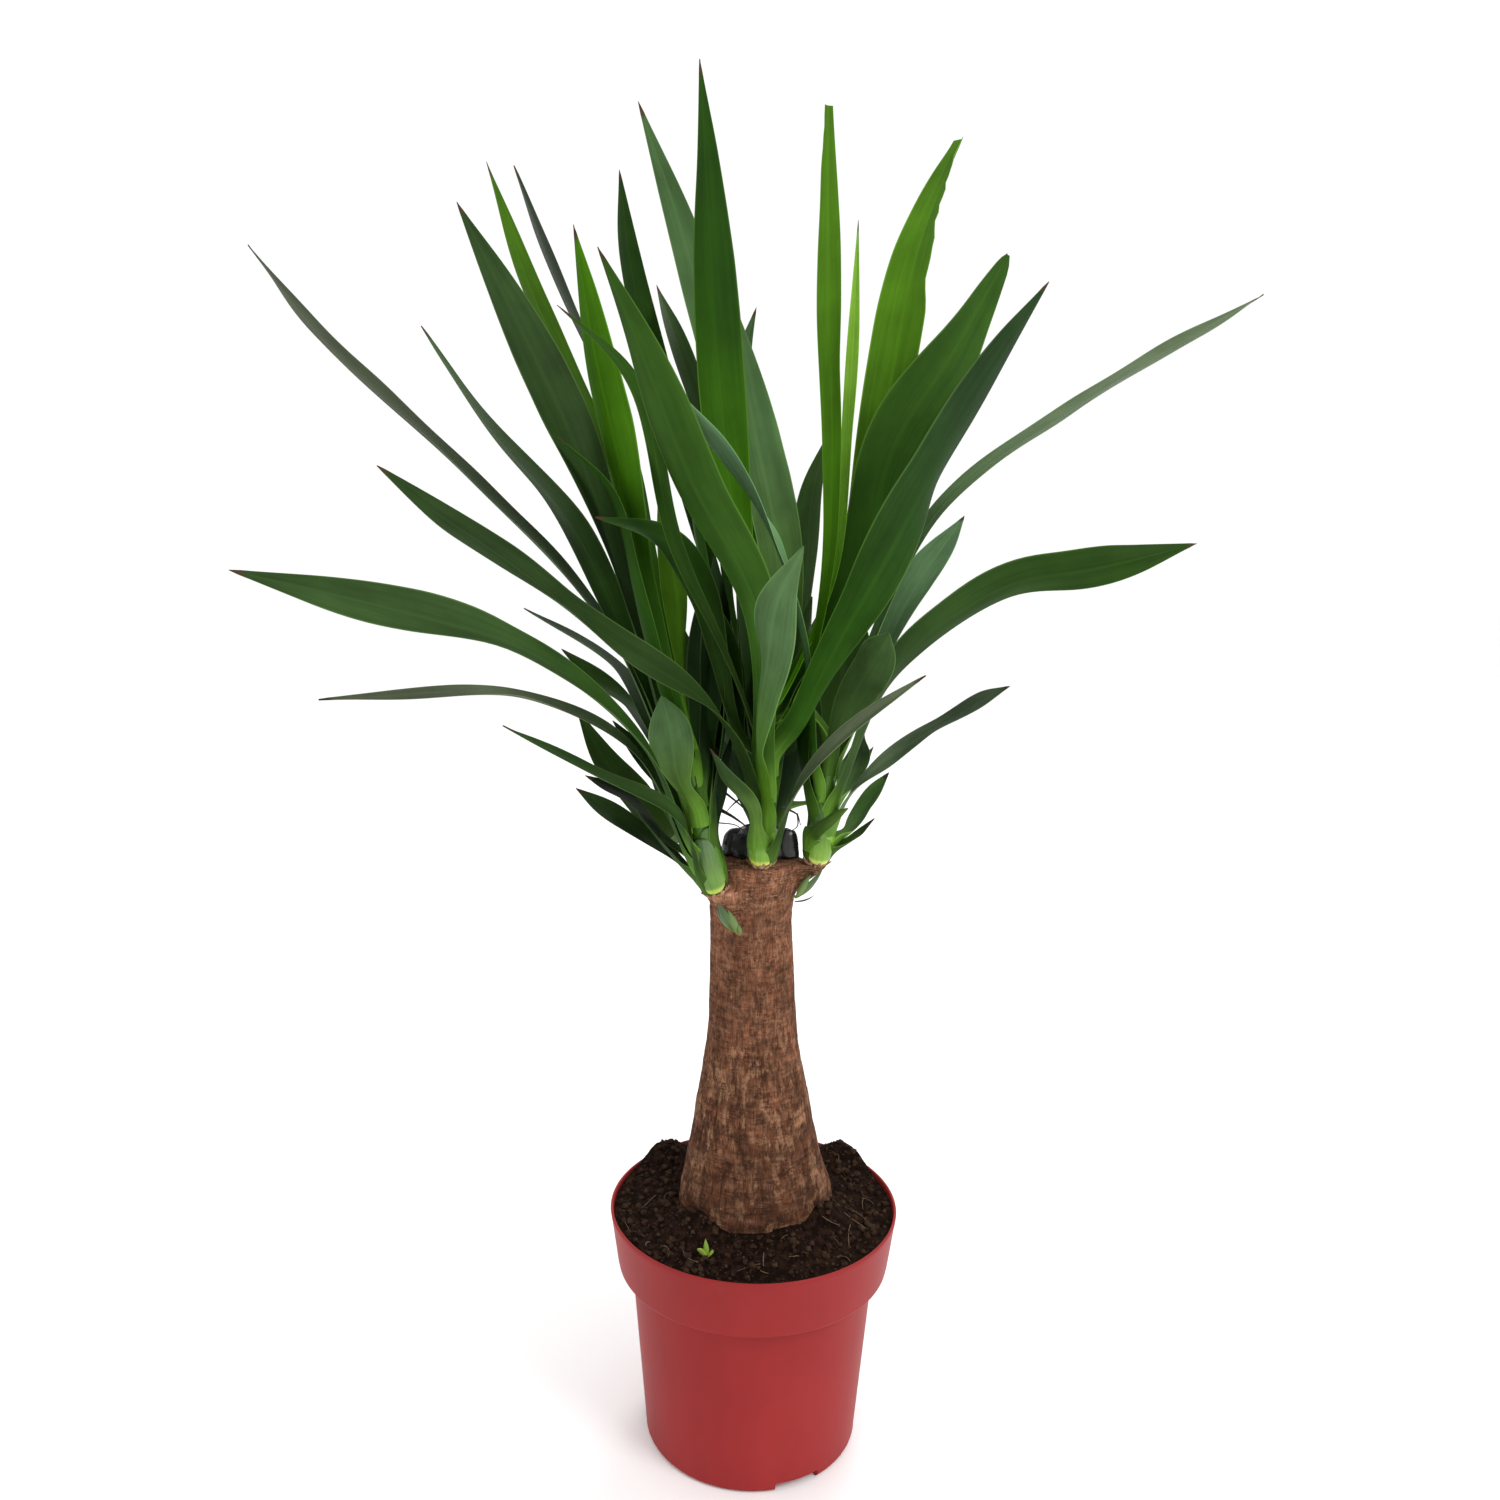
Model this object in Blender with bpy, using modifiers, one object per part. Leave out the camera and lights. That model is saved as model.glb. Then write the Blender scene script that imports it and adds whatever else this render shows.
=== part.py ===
"""Potted yucca: a thick bare cane in a plastic nursery pot, with four leafy shoots at its
sealed top. Millimetres in the tables, metres in the meshes; +Z up; the origin is the middle of
the pot's flat underside."""
import math

import bmesh
import bpy
import numpy as np
from mathutils import Matrix, Vector

MM = 0.001
GAP = 0.3                     # clearance between pieces that touch

# ---- pot: moulded plastic, deep collar, step, tapered body, three drainage pockets at the foot
POT_H = 146.4
RIM_R = 85.0                  # outside of the rim
COLLAR_BOTTOM_Z = 110.5
COLLAR_BOTTOM_R = 80.0
BODY_TOP_R = 72.2             # body just under the collar
FOOT_R = 63.9                 # body where it turns into the underside
WALL = 1.7
FLOOR = 2.2
POT_SIDES = 48
POCKET_AZIMUTHS = (-65.0, 55.0, 175.0)
POCKET_HALF_ANGLE = 12.5
POCKET_H = 5.4
POCKET_INNER_R = 49.0
POCKET_ROOF = 1.7
DRAIN_R = 3.2

# ---- soil: fills the pot to a little under the rim, with the cane standing in it
SOIL_EDGE_Z = 141.5
SOIL_MIDDLE_Z = 145.5
CANE_FOOT_Z = 52.0

# ---- cane: height, radius and sideways lean of its centre line
CANE = (
    (52, 38.0, 0.0), (60, 41.0, 0.0), (90, 43.5, 0.0), (125, 44.0, 0.0), (146, 44.0, 0.0),
    (153, 43.3, 0.0), (163, 42.3, 0.0), (173, 40.4, 0.0), (186, 37.6, -0.4), (198, 35.2, -0.8),
    (211, 33.3, -1.1), (224, 31.1, -1.3), (236, 28.7, -1.7), (249, 26.5, -2.0), (261, 25.4, -2.2),
    (285, 24.3, -2.8), (310, 23.3, -3.5), (322, 22.9, -4.0), (328, 23.2, -4.0), (334, 23.8, -3.9),
    (343, 24.6, -3.0), (351, 25.4, -2.5), (357, 25.6, -2.4), (360, 24.8, -2.6),
)
CANE_SIDES = 24

# ---- sealing wax on the cut top
WAX_CENTRE = (1.0, 5.0)
WAX_RINGS = ((360.3, 20.6, 15.0), (366, 21.0, 15.4), (372, 20.2, 14.6), (376.5, 17.0, 11.8), (379, 10.0, 6.4))

# ---- shoots: centre line of each pale stem, and its radius from foot to top
SHOOTS = {
    "left": ((-24, -27, 347), (-30, -31, 374), (-35, -34, 402), (-40, -36, 430)),
    "centre": ((1, -20, 361), (2, -22, 384), (3, -24, 414), (3, -26, 446)),
    "right": ((32, -5, 358), (34, -7, 378), (36, -9, 402), (41, -12, 438)),
    "back": ((5, 34, 350), (5, 38, 376), (6, 42, 404), (7, 46, 428)),
}
SHOOT_RADIUS = ((0.0, 5.6), (0.12, 7.2), (0.3, 6.2), (0.6, 4.8), (1.0, 2.6))

# ---- shoulders of the cane that carry the side shoots: a point inside the cane, one on the way,
# and the radius at each of these and at the shoot's foot, where the shoulder stops SEAT short
KNUCKLES = {
    "left": ((-12, -14, 322), (-19, -22, 337), (8.0, 7.6, 6.8)),
    "right": ((10, -1, 334), (24, -3.5, 347), (9.0, 8.5, 6.8)),
    "back": ((1, 15, 325), (4, 27, 340), (9.0, 8.5, 6.8)),
}
SEAT = 0.6

# ---- leaves
LEAF_THICK = 1.2
LEAF_CUP = 0.16               # how far the two edges rise above the middle, per width
LEAF_POINT = 0.8              # width left at the very tip
LEAF_OUTLINE = (              # width along the blade: clasping foot, neck, widest at 62 %, long point
    (0.00, .50), (.06, .44), (.13, .40), (.22, .46), (.33, .62), (.42, .79), (.52, .92), (.62, 1.0),
    (.72, .93), (.80, .76), (.87, .54), (.94, .26), (1.0, .02),
)
TWIST_AT = (0, .15, .35, .60, .85, 1.0)   # shares of the length between which the twist runs evenly
# name: shoot, height of the foot on the shoot, the way the foot faces (degrees round the shoot),
# points that the middle of the blade passes, last one the tip, greatest width,
# twist at 35, 60 and 85 % of the length (degrees), share of the outline kept where a tip is lost
LEAVES = {
    # left shoot
    "leaf_left_01": ("left", 54, 165, ((-85, 1, 488), (-160, 12, 567), (-234, 22, 633), (-289, 52, 694)), 25, (0, 5, -5)),
    "leaf_left_02": ("left", 60, 170, ((-74, -5, 481), (-108, 22, 544), (-155, 45, 594), (-196, 61, 653)), 26, (-45, -10, 0)),
    "leaf_left_03": ("left", 66, 170, ((-66, -24, 483), (-99, -10, 580), (-164, 13, 710)), 32, (-5, -40, -40)),
    "leaf_left_04": ("left", 88, 115, ((-66, -4, 505), (-90, 17, 584), (-131, 46, 671), (-158, 69, 743)), 18, (5, 30, 10)),
    "leaf_left_05": ("left", 80, 125, ((-58, 20, 496), (-78, 63, 588), (-121, 101, 677), (-155, 146, 759)), 20, (45, 50, 20)),
    "leaf_left_06": ("left", 92, 245, ((-61, -26, 504), (-76, -17, 573), (-91, -3, 635), (-102, 6, 698)), 28, (-40, -20, -20)),
    "leaf_left_07": ("left", 78, 250, ((-66, -42, 509), (-82, -27, 563), (-108, -24, 589)), 17, (-25, -55, -55)),
    "leaf_left_08": ("left", 70, 5, ((-41, -16, 446), (-46, -9, 499), (-57, 4, 570)), 16, (-20, -65, -75)),
    "leaf_left_09": ("left", 50, 255, ((-44, -48, 414), (-48, -57, 442), (-52, -65, 461)), 24, (10, 25, 30)),
    "leaf_left_10": ("left", 24, 195, ((-59, -73, 434), (-87, -94, 468), (-115, -112, 490), (-155, -118, 503), (-236, -143, 526)),
                     27, (-20, -20, -75)),
    "leaf_left_11": ("left", 12, 190, ((-68, -35, 427), (-119, -56, 457), (-147, -70, 462), (-218, -86, 460)), 14, (-25, -5, -30)),
    "leaf_left_12": ("left", 3, 225, ((-44, -60, 398), (-82, -79, 422), (-125, -105, 452)), 12, (-70, -30, -35)),
    "leaf_left_13": ("left", 3, 170, ((-52, -8, 364), (-75, -4, 378), (-104, 5, 397)), 18, (-20, -15, -30)),
    "leaf_left_14": ("left", 12, 125, ((-55, -10, 372), (-76, 11, 390), (-101, 25, 400)), 14, (10, 25, -15)),
    "leaf_left_15": ("left", 46, 140, ((-62, 1, 435), (-82, 25, 462), (-139, 53, 494)), 19, (0, 20, 10)),
    "leaf_left_16": ("left", 36, 125, ((-58, 4, 423), (-79, 40, 440), (-120, 72, 468)), 16, (-5, 25, -30)),
    "leaf_left_17": ("left", 34, 125, ((-53, 32, 358), (-75, 58, 381), (-94, 71, 399), (-112, 79, 430)), 22, (0, -10, -10)),
    # middle shoot
    "leaf_centre_01": ("centre", 46, 245, ((-4, -61, 503), (-37, -76, 566), (-61, -100, 627), (-77, -119, 665)), 32, (-5, -10, -15)),
    "leaf_centre_02": ("centre", 88, 195, ((-3, -33, 484), (-16, -27, 547), (-27, -22, 634), (-36, -22, 770)), 30, (-95, -70, -55)),
    "leaf_centre_03": ("centre", 80, 135, ((-1, 25, 472), (-21, 60, 606), (-45, 76, 699), (-73, 74, 777)), 25, (5, -15, -35)),
    "leaf_centre_04": ("centre", 80, 40, ((16, -23, 443), (32, -25, 512), (34, -21, 584), (31, -16, 653), (28, -9, 753)),
                       13, (45, 15, 75), 0.9),
    "leaf_centre_05": ("centre", 96, 45, ((13, -10, 455), (38, -6, 520), (44, -1, 605), (47, 12, 703)), 8, (10, -5, 50)),
    "leaf_centre_06": ("centre", 66, 25, ((15, -5, 448), (45, 10, 505), (67, 33, 609), (84, 54, 694), (114, 102, 766)),
                       31, (60, 40, 15), 0.93),
    "leaf_centre_07": ("centre", 74, 40, ((13, -7, 452), (49, -4, 515), (68, -1, 587), (99, 12, 636), (130, 31, 690)),
                       35, (35, 45, 90), 0.96),
    "leaf_centre_08": ("centre", 60, 285, ((17, -37, 440), (30, -52, 473), (54, -65, 521), (94, -52, 595), (141, -22, 668)), 34, (-30, 45, 45)),
    "leaf_centre_09": ("centre", 3, 320, ((19, -63, 415), (39, -72, 442), (78, -82, 475)), 15, (40, 45, 45)),
    "leaf_centre_10": ("centre", 24, 280, ((-4, -75, 442), (0, -99, 482), (3, -118, 512), (14, -138, 539)), 26, (-90, -75, -15)),
    "leaf_centre_11": ("centre", 58, 145, ((-12, -21, 429), (-25, -21, 475), (-35, -30, 512), (-52, -44, 537), (-85, -61, 549)),
                       24, (0, -5, -10)),
    "leaf_centre_12": ("centre", 64, 155, ((-22, -38, 483), (-47, -56, 538), (-65, -69, 613), (-99, -88, 645)), 10, (-30, -30, -40)),
    "leaf_centre_13": ("centre", 30, 220, ((-25, -55, 451), (-74, -69, 487), (-128, -79, 529), (-160, -76, 550), (-184, -90, 572)),
                       26, (-60, -35, -65)),
    "leaf_centre_14": ("centre", 11, 240, ((-4, -41, 395), (-18, -64, 418), (-27, -80, 437)), 15, (0, 0, -20)),
    # right shoot
    "leaf_right_01": ("right", 70, 165, ((18, 12, 455), (10, 20, 525), (-6, 36, 597), (-19, 35, 666)), 31, (-70, -45, -40)),
    "leaf_right_02": ("right", 46, 200, ((21, -41, 479), (3, -52, 539), (-22, -55, 579), (-41, -88, 605)), 19, (-10, -30, 30)),
    "leaf_right_03": ("right", 88, 25, ((62, 7, 483), (99, 36, 553), (189, 79, 616), (310, 133, 686)), 20, (15, 0, 20)),
    "leaf_right_04": ("right", 34, 330, ((68, -38, 473), (97, -49, 502), (126, -51, 519), (164, -46, 525), (229, -14, 538)),
                      26, (-30, -40, -85)),
    "leaf_right_05": ("right", 60, 30, ((60, 12, 451), (81, 37, 496), (122, 82, 550)), 27, (-5, 10, 25)),
    "leaf_right_06": ("right", 20, 340, ((49, -21, 401), (74, -32, 428), (104, -52, 453), (118, -87, 471)), 15, (55, 20, 45)),
    "leaf_right_07": ("right", 62, 260, ((40, -47, 446), (48, -65, 469), (53, -93, 486), (55, -118, 499)), 24, (-10, -55, -30)),
    "leaf_right_08": ("right", 5, 350, ((50, -8, 371), (57, -3, 375), (65, 2, 382)), 7, (15, 25, 20)),
    "leaf_right_09": ("right", 10, 15, ((52, 8, 373), (61, 22, 382), (75, 24, 404)), 16, (10, 10, 20)),
    "leaf_right_10": ("right", 30, 20, ((53, 21, 400), (60, 40, 413), (62, 48, 431)), 22, (10, 10, -5)),
    "leaf_right_11": ("right", 12, 215, ((30, -29, 383), (38, -36, 392), (46, -40, 398)), 12, (-25, -25, -5)),
    # back shoot
    "leaf_back_01": ("back", 58, 145, ((-25, 65, 499), (-54, 95, 595), (-81, 132, 694), (-93, 184, 766)), 20, (-20, -15, -30)),
    "leaf_back_02": ("back", 68, 30, ((-5, 68, 503), (-10, 95, 583), (-13, 116, 636), (-4, 131, 675)), 22, (15, 15, 40)),
    "leaf_back_03": ("back", 96, 165, ((-18, 50, 491), (-30, 71, 582), (-50, 93, 644), (-66, 135, 688)), 22, (-15, -20, -30)),
    "leaf_back_04": ("back", 52, 40, ((19, 54, 449), (28, 75, 520), (31, 82, 564), (41, 92, 600)), 25, (-5, -5, 5)),
    "leaf_back_05": ("back", 24, 35, ((45, 47, 383), (57, 60, 391), (72, 82, 408)), 13, (0, 0, 0)),
    "leaf_back_06": ("back", 48, 70, ((11, 83, 417), (21, 151, 451), (33, 218, 487)), 25, (5, 0, 5)),
    "leaf_back_07": ("back", 40, 115, ((-11, 78, 398), (-30, 129, 436), (-36, 185, 461)), 24, (0, 5, 5)),
}


# ------------------------------------------------------------------ small helpers
def unit(v):
    return v / max(1e-12, float(np.linalg.norm(v)))


def new_collection(name):
    c = bpy.data.collections.new(name)
    bpy.context.scene.collection.children.link(c)
    return c


def material(name, rgb, rough, metal=0.0):
    m = bpy.data.materials.new(name)
    m.use_nodes = True
    b = m.node_tree.nodes["Principled BSDF"]
    b.inputs["Base Color"].default_value = (*rgb, 1.0)
    b.inputs["Roughness"].default_value = rough
    b.inputs["Metallic"].default_value = metal
    m.diffuse_color = (*rgb, 1.0)
    return m


def add(name, data, mat, smooth_deg=40.0):
    o = bpy.data.objects.new(name, data)
    PLANT.objects.link(o)
    data.materials.append(mat)
    if isinstance(data, bpy.types.Mesh) and len(data.polygons):
        data.shade_smooth()
        data.set_sharp_from_angle(angle=math.radians(smooth_deg))
    return o


def turned(name, profile, steps, mat):
    """A profile of (radius, height) in mm, from the axis up the inside and down the outside."""
    me = bpy.data.meshes.new(name)
    me.from_pydata([(r * MM, 0.0, z * MM) for r, z in profile],
                   [(i, i + 1) for i in range(len(profile) - 1)], [])
    o = add(name, me, mat)
    s = o.modifiers.new("Turn", "SCREW")
    s.axis = "Z"
    s.angle = math.tau
    s.steps = s.render_steps = steps
    s.use_merge_vertices = True
    s.merge_threshold = 1e-5
    s.use_smooth_shade = True
    return o


def mesh_of(bm, name):
    bmesh.ops.recalc_face_normals(bm, faces=bm.faces)
    me = bpy.data.meshes.new(name)
    bm.to_mesh(me)
    bm.free()
    return me


def loft(name, rings, mat):
    """Closed skin over rings of equal point counts (lists of mm points), capped at both ends."""
    bm = bmesh.new()
    rows = [[bm.verts.new([c * MM for c in p]) for p in ring] for ring in rings]
    n = len(rows[0])
    for a, b in zip(rows, rows[1:]):
        for i in range(n):
            bm.faces.new((a[i], a[(i + 1) % n], b[(i + 1) % n], b[i]))
    bm.faces.new(rows[0])
    bm.faces.new(rows[-1])
    return add(name, mesh_of(bm, name), mat)


def sector_prism(name, r0, r1, mid, half, z0, z1, steps=6):
    """Prism over a sector of a ring: the shape of a drainage pocket at the foot of the pot."""
    a = [math.radians(mid - half + 2 * half * i / steps) for i in range(steps + 1)]
    outline = [(r1 * math.cos(t), r1 * math.sin(t)) for t in a]
    outline += [(r0 * math.cos(t), r0 * math.sin(t)) for t in reversed(a)]
    bm = bmesh.new()
    f = bm.faces.new([bm.verts.new((x * MM, y * MM, z0 * MM)) for x, y in outline])
    top = bmesh.ops.extrude_face_region(bm, geom=[f])["geom"]
    bmesh.ops.translate(bm, vec=(0, 0, (z1 - z0) * MM),
                        verts=[v for v in top if isinstance(v, bmesh.types.BMVert)])
    o = bpy.data.objects.new(name, mesh_of(bm, name))
    CUTTERS.objects.link(o)
    o.hide_render = True
    o.display_type = "WIRE"
    return o


def boolean(target, cutter, operation):
    m = target.modifiers.new(cutter.name, "BOOLEAN")
    m.operation = operation
    m.object = cutter
    return m


# ------------------------------------------------------------------ curves through points
def smooth_curve(points, start_dir, per=16):
    """Catmull-Rom curve through the points, leaving the first one along start_dir."""
    P = [np.array(p, float) for p in points]
    lead = float(np.linalg.norm(P[1] - P[0]))
    P = [P[1] - 2 * unit(np.array(start_dir, float)) * lead * 0.9] + P + [2 * P[-1] - P[-2]]
    out = []
    for p0, p1, p2, p3 in zip(P, P[1:], P[2:], P[3:]):
        t1 = float(np.linalg.norm(p1 - p0)) ** 0.5
        t2 = t1 + float(np.linalg.norm(p2 - p1)) ** 0.5
        t3 = t2 + float(np.linalg.norm(p3 - p2)) ** 0.5
        for k in range(per):
            t = t1 + (t2 - t1) * k / per
            a1 = (t1 - t) / t1 * p0 + t / t1 * p1
            a2 = (t2 - t) / (t2 - t1) * p1 + (t - t1) / (t2 - t1) * p2
            a3 = (t3 - t) / (t3 - t2) * p2 + (t - t2) / (t3 - t2) * p3
            b1 = (t2 - t) / t2 * a1 + t / t2 * a2
            b2 = (t3 - t) / (t3 - t1) * a2 + (t - t1) / (t3 - t1) * a3
            out.append((t2 - t) / (t2 - t1) * b1 + (t - t1) / (t2 - t1) * b2)
    out.append(P[-2])
    return np.array(out)


def even(path, n):
    """The path again as n points evenly spaced along it, with their share of the way and the length."""
    seg = np.linalg.norm(np.diff(path, axis=0), axis=1)
    s = np.concatenate([[0], np.cumsum(seg)])
    u = np.linspace(0, 1, n)
    return np.stack([np.interp(u, s / s[-1], path[:, k]) for k in range(3)], axis=1), u, float(s[-1])


def shoot_line(key, n=60):
    p = [np.array(q, float) for q in SHOOTS[key]]
    return even(smooth_curve(p, unit(p[1] - p[0])), n)


def shoot_radius(t):
    return np.interp(t, [a for a, b in SHOOT_RADIUS], [b for a, b in SHOOT_RADIUS])


def foot_on_shoot(key, height, azimuth):
    """Where a leaf's foot sits against its shoot, the shoot's direction there, and the way out."""
    pts, u, length = shoot_line(key)
    t = min(1.0, height / length)
    c = np.array([np.interp(t, u, pts[:, k]) for k in range(3)])
    i = min(len(pts) - 2, int(t * (len(pts) - 1)))
    d = unit(pts[i + 1] - pts[i])
    a = math.radians(azimuth)
    o = np.array([math.cos(a), math.sin(a), 0.0])
    o = unit(o - (o @ d) * d)
    return c + o * (shoot_radius(t) + 1.2), d, o


def blade(shoot, height, azimuth, via, width, twist, keep=1.0):
    """Rows of three points across the blade: left edge, middle, right edge (mm)."""
    base, stem, out = foot_on_shoot(shoot, height, azimuth)
    path = smooth_curve([base] + list(via), unit(stem + 0.35 * out))
    length = even(path, 2)[2]
    pts, u, length = even(path, 13 if length > 130 else 9)
    d = np.gradient(pts, axis=0)
    d /= np.linalg.norm(d, axis=1)[:, None]
    a = math.radians(azimuth)
    across = np.array([-math.sin(a), math.cos(a), 0.0])
    side = across - (d @ across)[:, None] * d
    side /= np.linalg.norm(side, axis=1)[:, None]
    tw = np.radians(np.interp(u, TWIST_AT, [0, 0, *twist, twist[-1]]))[:, None]
    face = np.cross(d, side)
    side = side * np.cos(tw) + face * np.sin(tw)
    face = np.cross(d, side)
    w = width * np.interp(u * keep, [p for p, q in LEAF_OUTLINE], [q for p, q in LEAF_OUTLINE])[:, None]
    w = np.maximum(w, LEAF_POINT)
    lift = LEAF_CUP * 0.5 * w * face
    return np.stack([pts - side * w / 2 + lift, pts, pts + side * w / 2 + lift], axis=1)


# ------------------------------------------------------------------ the pieces
def make_pot():
    slope = (RIM_R - COLLAR_BOTTOM_R) / (POT_H - COLLAR_BOTTOM_Z)
    step_in = RIM_R - WALL - slope * (POT_H - COLLAR_BOTTOM_Z - 2.4)
    profile = [
        (0, FLOOR), (POCKET_INNER_R - 3, FLOOR), (FOOT_R - WALL - 1.4, FLOOR), (FOOT_R - WALL, FLOOR + 1.6),
        (FOOT_R - WALL + .4, 7.6),
        (BODY_TOP_R - WALL, COLLAR_BOTTOM_Z - 2.2), (BODY_TOP_R - WALL + .8, COLLAR_BOTTOM_Z + .6),
        (BODY_TOP_R - WALL + 2.6, COLLAR_BOTTOM_Z + 1.6), (step_in - 1.2, COLLAR_BOTTOM_Z + 1.8),
        (step_in, COLLAR_BOTTOM_Z + 3.0),
        (RIM_R - WALL, POT_H - .6), (RIM_R - WALL + .5, POT_H), (RIM_R - .5, POT_H), (RIM_R, POT_H - .6),
        (COLLAR_BOTTOM_R + .3, COLLAR_BOTTOM_Z + 2.4), (COLLAR_BOTTOM_R - .6, COLLAR_BOTTOM_Z + .6),
        (COLLAR_BOTTOM_R - 2.0, COLLAR_BOTTOM_Z), (BODY_TOP_R + 2.0, COLLAR_BOTTOM_Z - .2),
        (BODY_TOP_R + .5, COLLAR_BOTTOM_Z - 1.0), (BODY_TOP_R, COLLAR_BOTTOM_Z - 2.4),
        (FOOT_R, 5.0), (FOOT_R - .4, 2.4), (FOOT_R - 1.4, .8), (FOOT_R - 3.0, 0), (0, 0),
    ]
    pot = turned("pot", profile, POT_SIDES, MAT_POT)
    for k, az in enumerate(POCKET_AZIMUTHS):
        block = sector_prism(f"pocket_roof_{k}", POCKET_INNER_R - WALL, FOOT_R - 1.3, az,
                             POCKET_HALF_ANGLE + 1.8, 1.0, POCKET_H + POCKET_ROOF)
        boolean(pot, block, "UNION")
    for k, az in enumerate(POCKET_AZIMUTHS):
        pocket = sector_prism(f"pocket_{k}", POCKET_INNER_R, FOOT_R + 8, az, POCKET_HALF_ANGLE, -2, POCKET_H)
        boolean(pot, pocket, "DIFFERENCE")
        bm = bmesh.new()
        bmesh.ops.create_cone(bm, cap_ends=True, segments=14, radius1=DRAIN_R * MM, radius2=DRAIN_R * MM,
                              depth=8 * MM)
        t = math.radians(az)
        r = POCKET_INNER_R + 5.0
        bmesh.ops.translate(bm, vec=(r * math.cos(t) * MM, r * math.sin(t) * MM, (POCKET_H + 1) * MM),
                            verts=bm.verts)
        hole = bpy.data.objects.new(f"drain_{k}", mesh_of(bm, f"drain_{k}"))
        CUTTERS.objects.link(hole)
        hole.hide_render = True
        hole.display_type = "WIRE"
        boolean(pot, hole, "DIFFERENCE")
    return pot


def pot_inside(z):
    """Inner radius of the pot at a height over the floor's rounding."""
    slope = (RIM_R - COLLAR_BOTTOM_R) / (POT_H - COLLAR_BOTTOM_Z)
    body = np.interp(z, [7.6, COLLAR_BOTTOM_Z - 2.2], [FOOT_R - WALL + .4, BODY_TOP_R - WALL])
    return float(body) if z < COLLAR_BOTTOM_Z else RIM_R - WALL - slope * (POT_H - z)


def cane_radius(z):
    return float(np.interp(z, [a for a, b, c in CANE], [b for a, b, c in CANE]))


def make_soil():
    """Turned body round the foot of the cane; two steps under it clear the pockets' roofs."""
    round_fit = 1 / math.cos(math.pi / POT_SIDES)     # a flat-sided wall comes in between its corners
    hole = [(cane_radius(z) * 1.004 + GAP + .2, z) for z in (62, 90, 125, 140)]
    edge = SOIL_EDGE_Z
    outer = [(pot_inside(z) / round_fit - GAP, z) for z in (edge - .8, COLLAR_BOTTOM_Z + 4.0)]
    outer += [(BODY_TOP_R - WALL - 1.6, COLLAR_BOTTOM_Z + 2.4)]
    outer += [(pot_inside(z) / round_fit - GAP - .1, z) for z in (COLLAR_BOTTOM_Z - 4.0, 9.0)]
    profile = [(0, CANE_FOOT_Z - GAP - .2), (cane_radius(52) + 1.5, CANE_FOOT_Z - GAP - .2)]
    profile += hole + [(cane_radius(146) + 2.0, SOIL_MIDDLE_Z), (58, 144.8), (70, 143.2), (78, 142.0)]
    profile += [(outer[0][0] - 1.2, edge)] + outer
    profile += [(58.0, POCKET_H + POCKET_ROOF + GAP + .3), (POCKET_INNER_R - WALL - 1.2, POCKET_H + POCKET_ROOF + GAP + .3),
                (POCKET_INNER_R - WALL - 1.6, FLOOR + GAP), (0, FLOOR + GAP)]
    return turned("soil", profile, POT_SIDES, MAT_SOIL)


def make_cane():
    rings = []
    for z, r, lean in CANE:
        lobe = 0.02 * min(1.0, max(0.0, (z - 170) / 40))
        ring = []
        for i in range(CANE_SIDES):
            t = math.tau * i / CANE_SIDES
            q = r * (1 + lobe * math.cos(3 * t + z * .03) + lobe * .6 * math.cos(5 * t - z * .05))
            ring.append((lean + q * math.cos(t), q * math.sin(t), z))
        rings.append(ring)
    cane = loft("trunk", rings, MAT_BARK)
    for key, (inner, middle, radii) in KNUCKLES.items():
        foot, next_point = (np.array(p, float) for p in SHOOTS[key][:2])
        up = unit(next_point - foot)
        stops = [np.array(inner, float), np.array(middle, float), foot - SEAT * up]
        ways = [unit(stops[1] - stops[0]), unit(stops[2] - stops[0]), up]
        rings = []
        for c, d, r in zip(stops, ways, radii):
            a = unit(np.cross(d, np.array([0.0, 1.0, 0.0])))
            b = np.cross(a, d)
            rings.append([tuple(c + r * (a * math.cos(math.tau * i / 12) + b * math.sin(math.tau * i / 12)))
                          for i in range(12)])
        shoulder = loft(f"shoulder_{key}", rings, MAT_BARK)
        PLANT.objects.unlink(shoulder)
        CUTTERS.objects.link(shoulder)
        shoulder.hide_render = True
        shoulder.display_type = "WIRE"
        boolean(cane, shoulder, "UNION")
    return cane


def make_wax():
    cx, cy = WAX_CENTRE
    rings = []
    for z, rx, ry in WAX_RINGS:
        rings.append([(cx + rx * math.cos(math.tau * i / 20), cy + ry * math.sin(math.tau * i / 20), z)
                      for i in range(20)])
    return loft("wax_cap", rings, MAT_WAX)


def make_shoot(key):
    pts, u, length = shoot_line(key, 9)
    cu = bpy.data.curves.new(f"shoot_{key}", "CURVE")
    cu.dimensions = "3D"
    cu.bevel_depth = 1.0 * MM
    cu.bevel_resolution = 2
    cu.use_fill_caps = True
    s = cu.splines.new("POLY")
    s.points.add(len(pts) - 1)
    for p, q, t in zip(s.points, pts, u):
        p.co = (*(q * MM), 1.0)
        p.radius = float(shoot_radius(t))
    return add(f"shoot_{key}", cu, MAT_STEM)


def make_leaf(name, row):
    g = blade(*row) * MM
    bm = bmesh.new()
    rows = [[bm.verts.new(p) for p in line] for line in g]
    for a, b in zip(rows, rows[1:]):
        for i in range(2):
            bm.faces.new((a[i], a[i + 1], b[i + 1], b[i]))
    me = bpy.data.meshes.new(name)
    bm.to_mesh(me)
    bm.free()
    o = add(name, me, MAT_LEAF)
    s = o.modifiers.new("Thickness", "SOLIDIFY")
    s.thickness = LEAF_THICK * MM
    s.offset = 0.0
    return o


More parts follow.
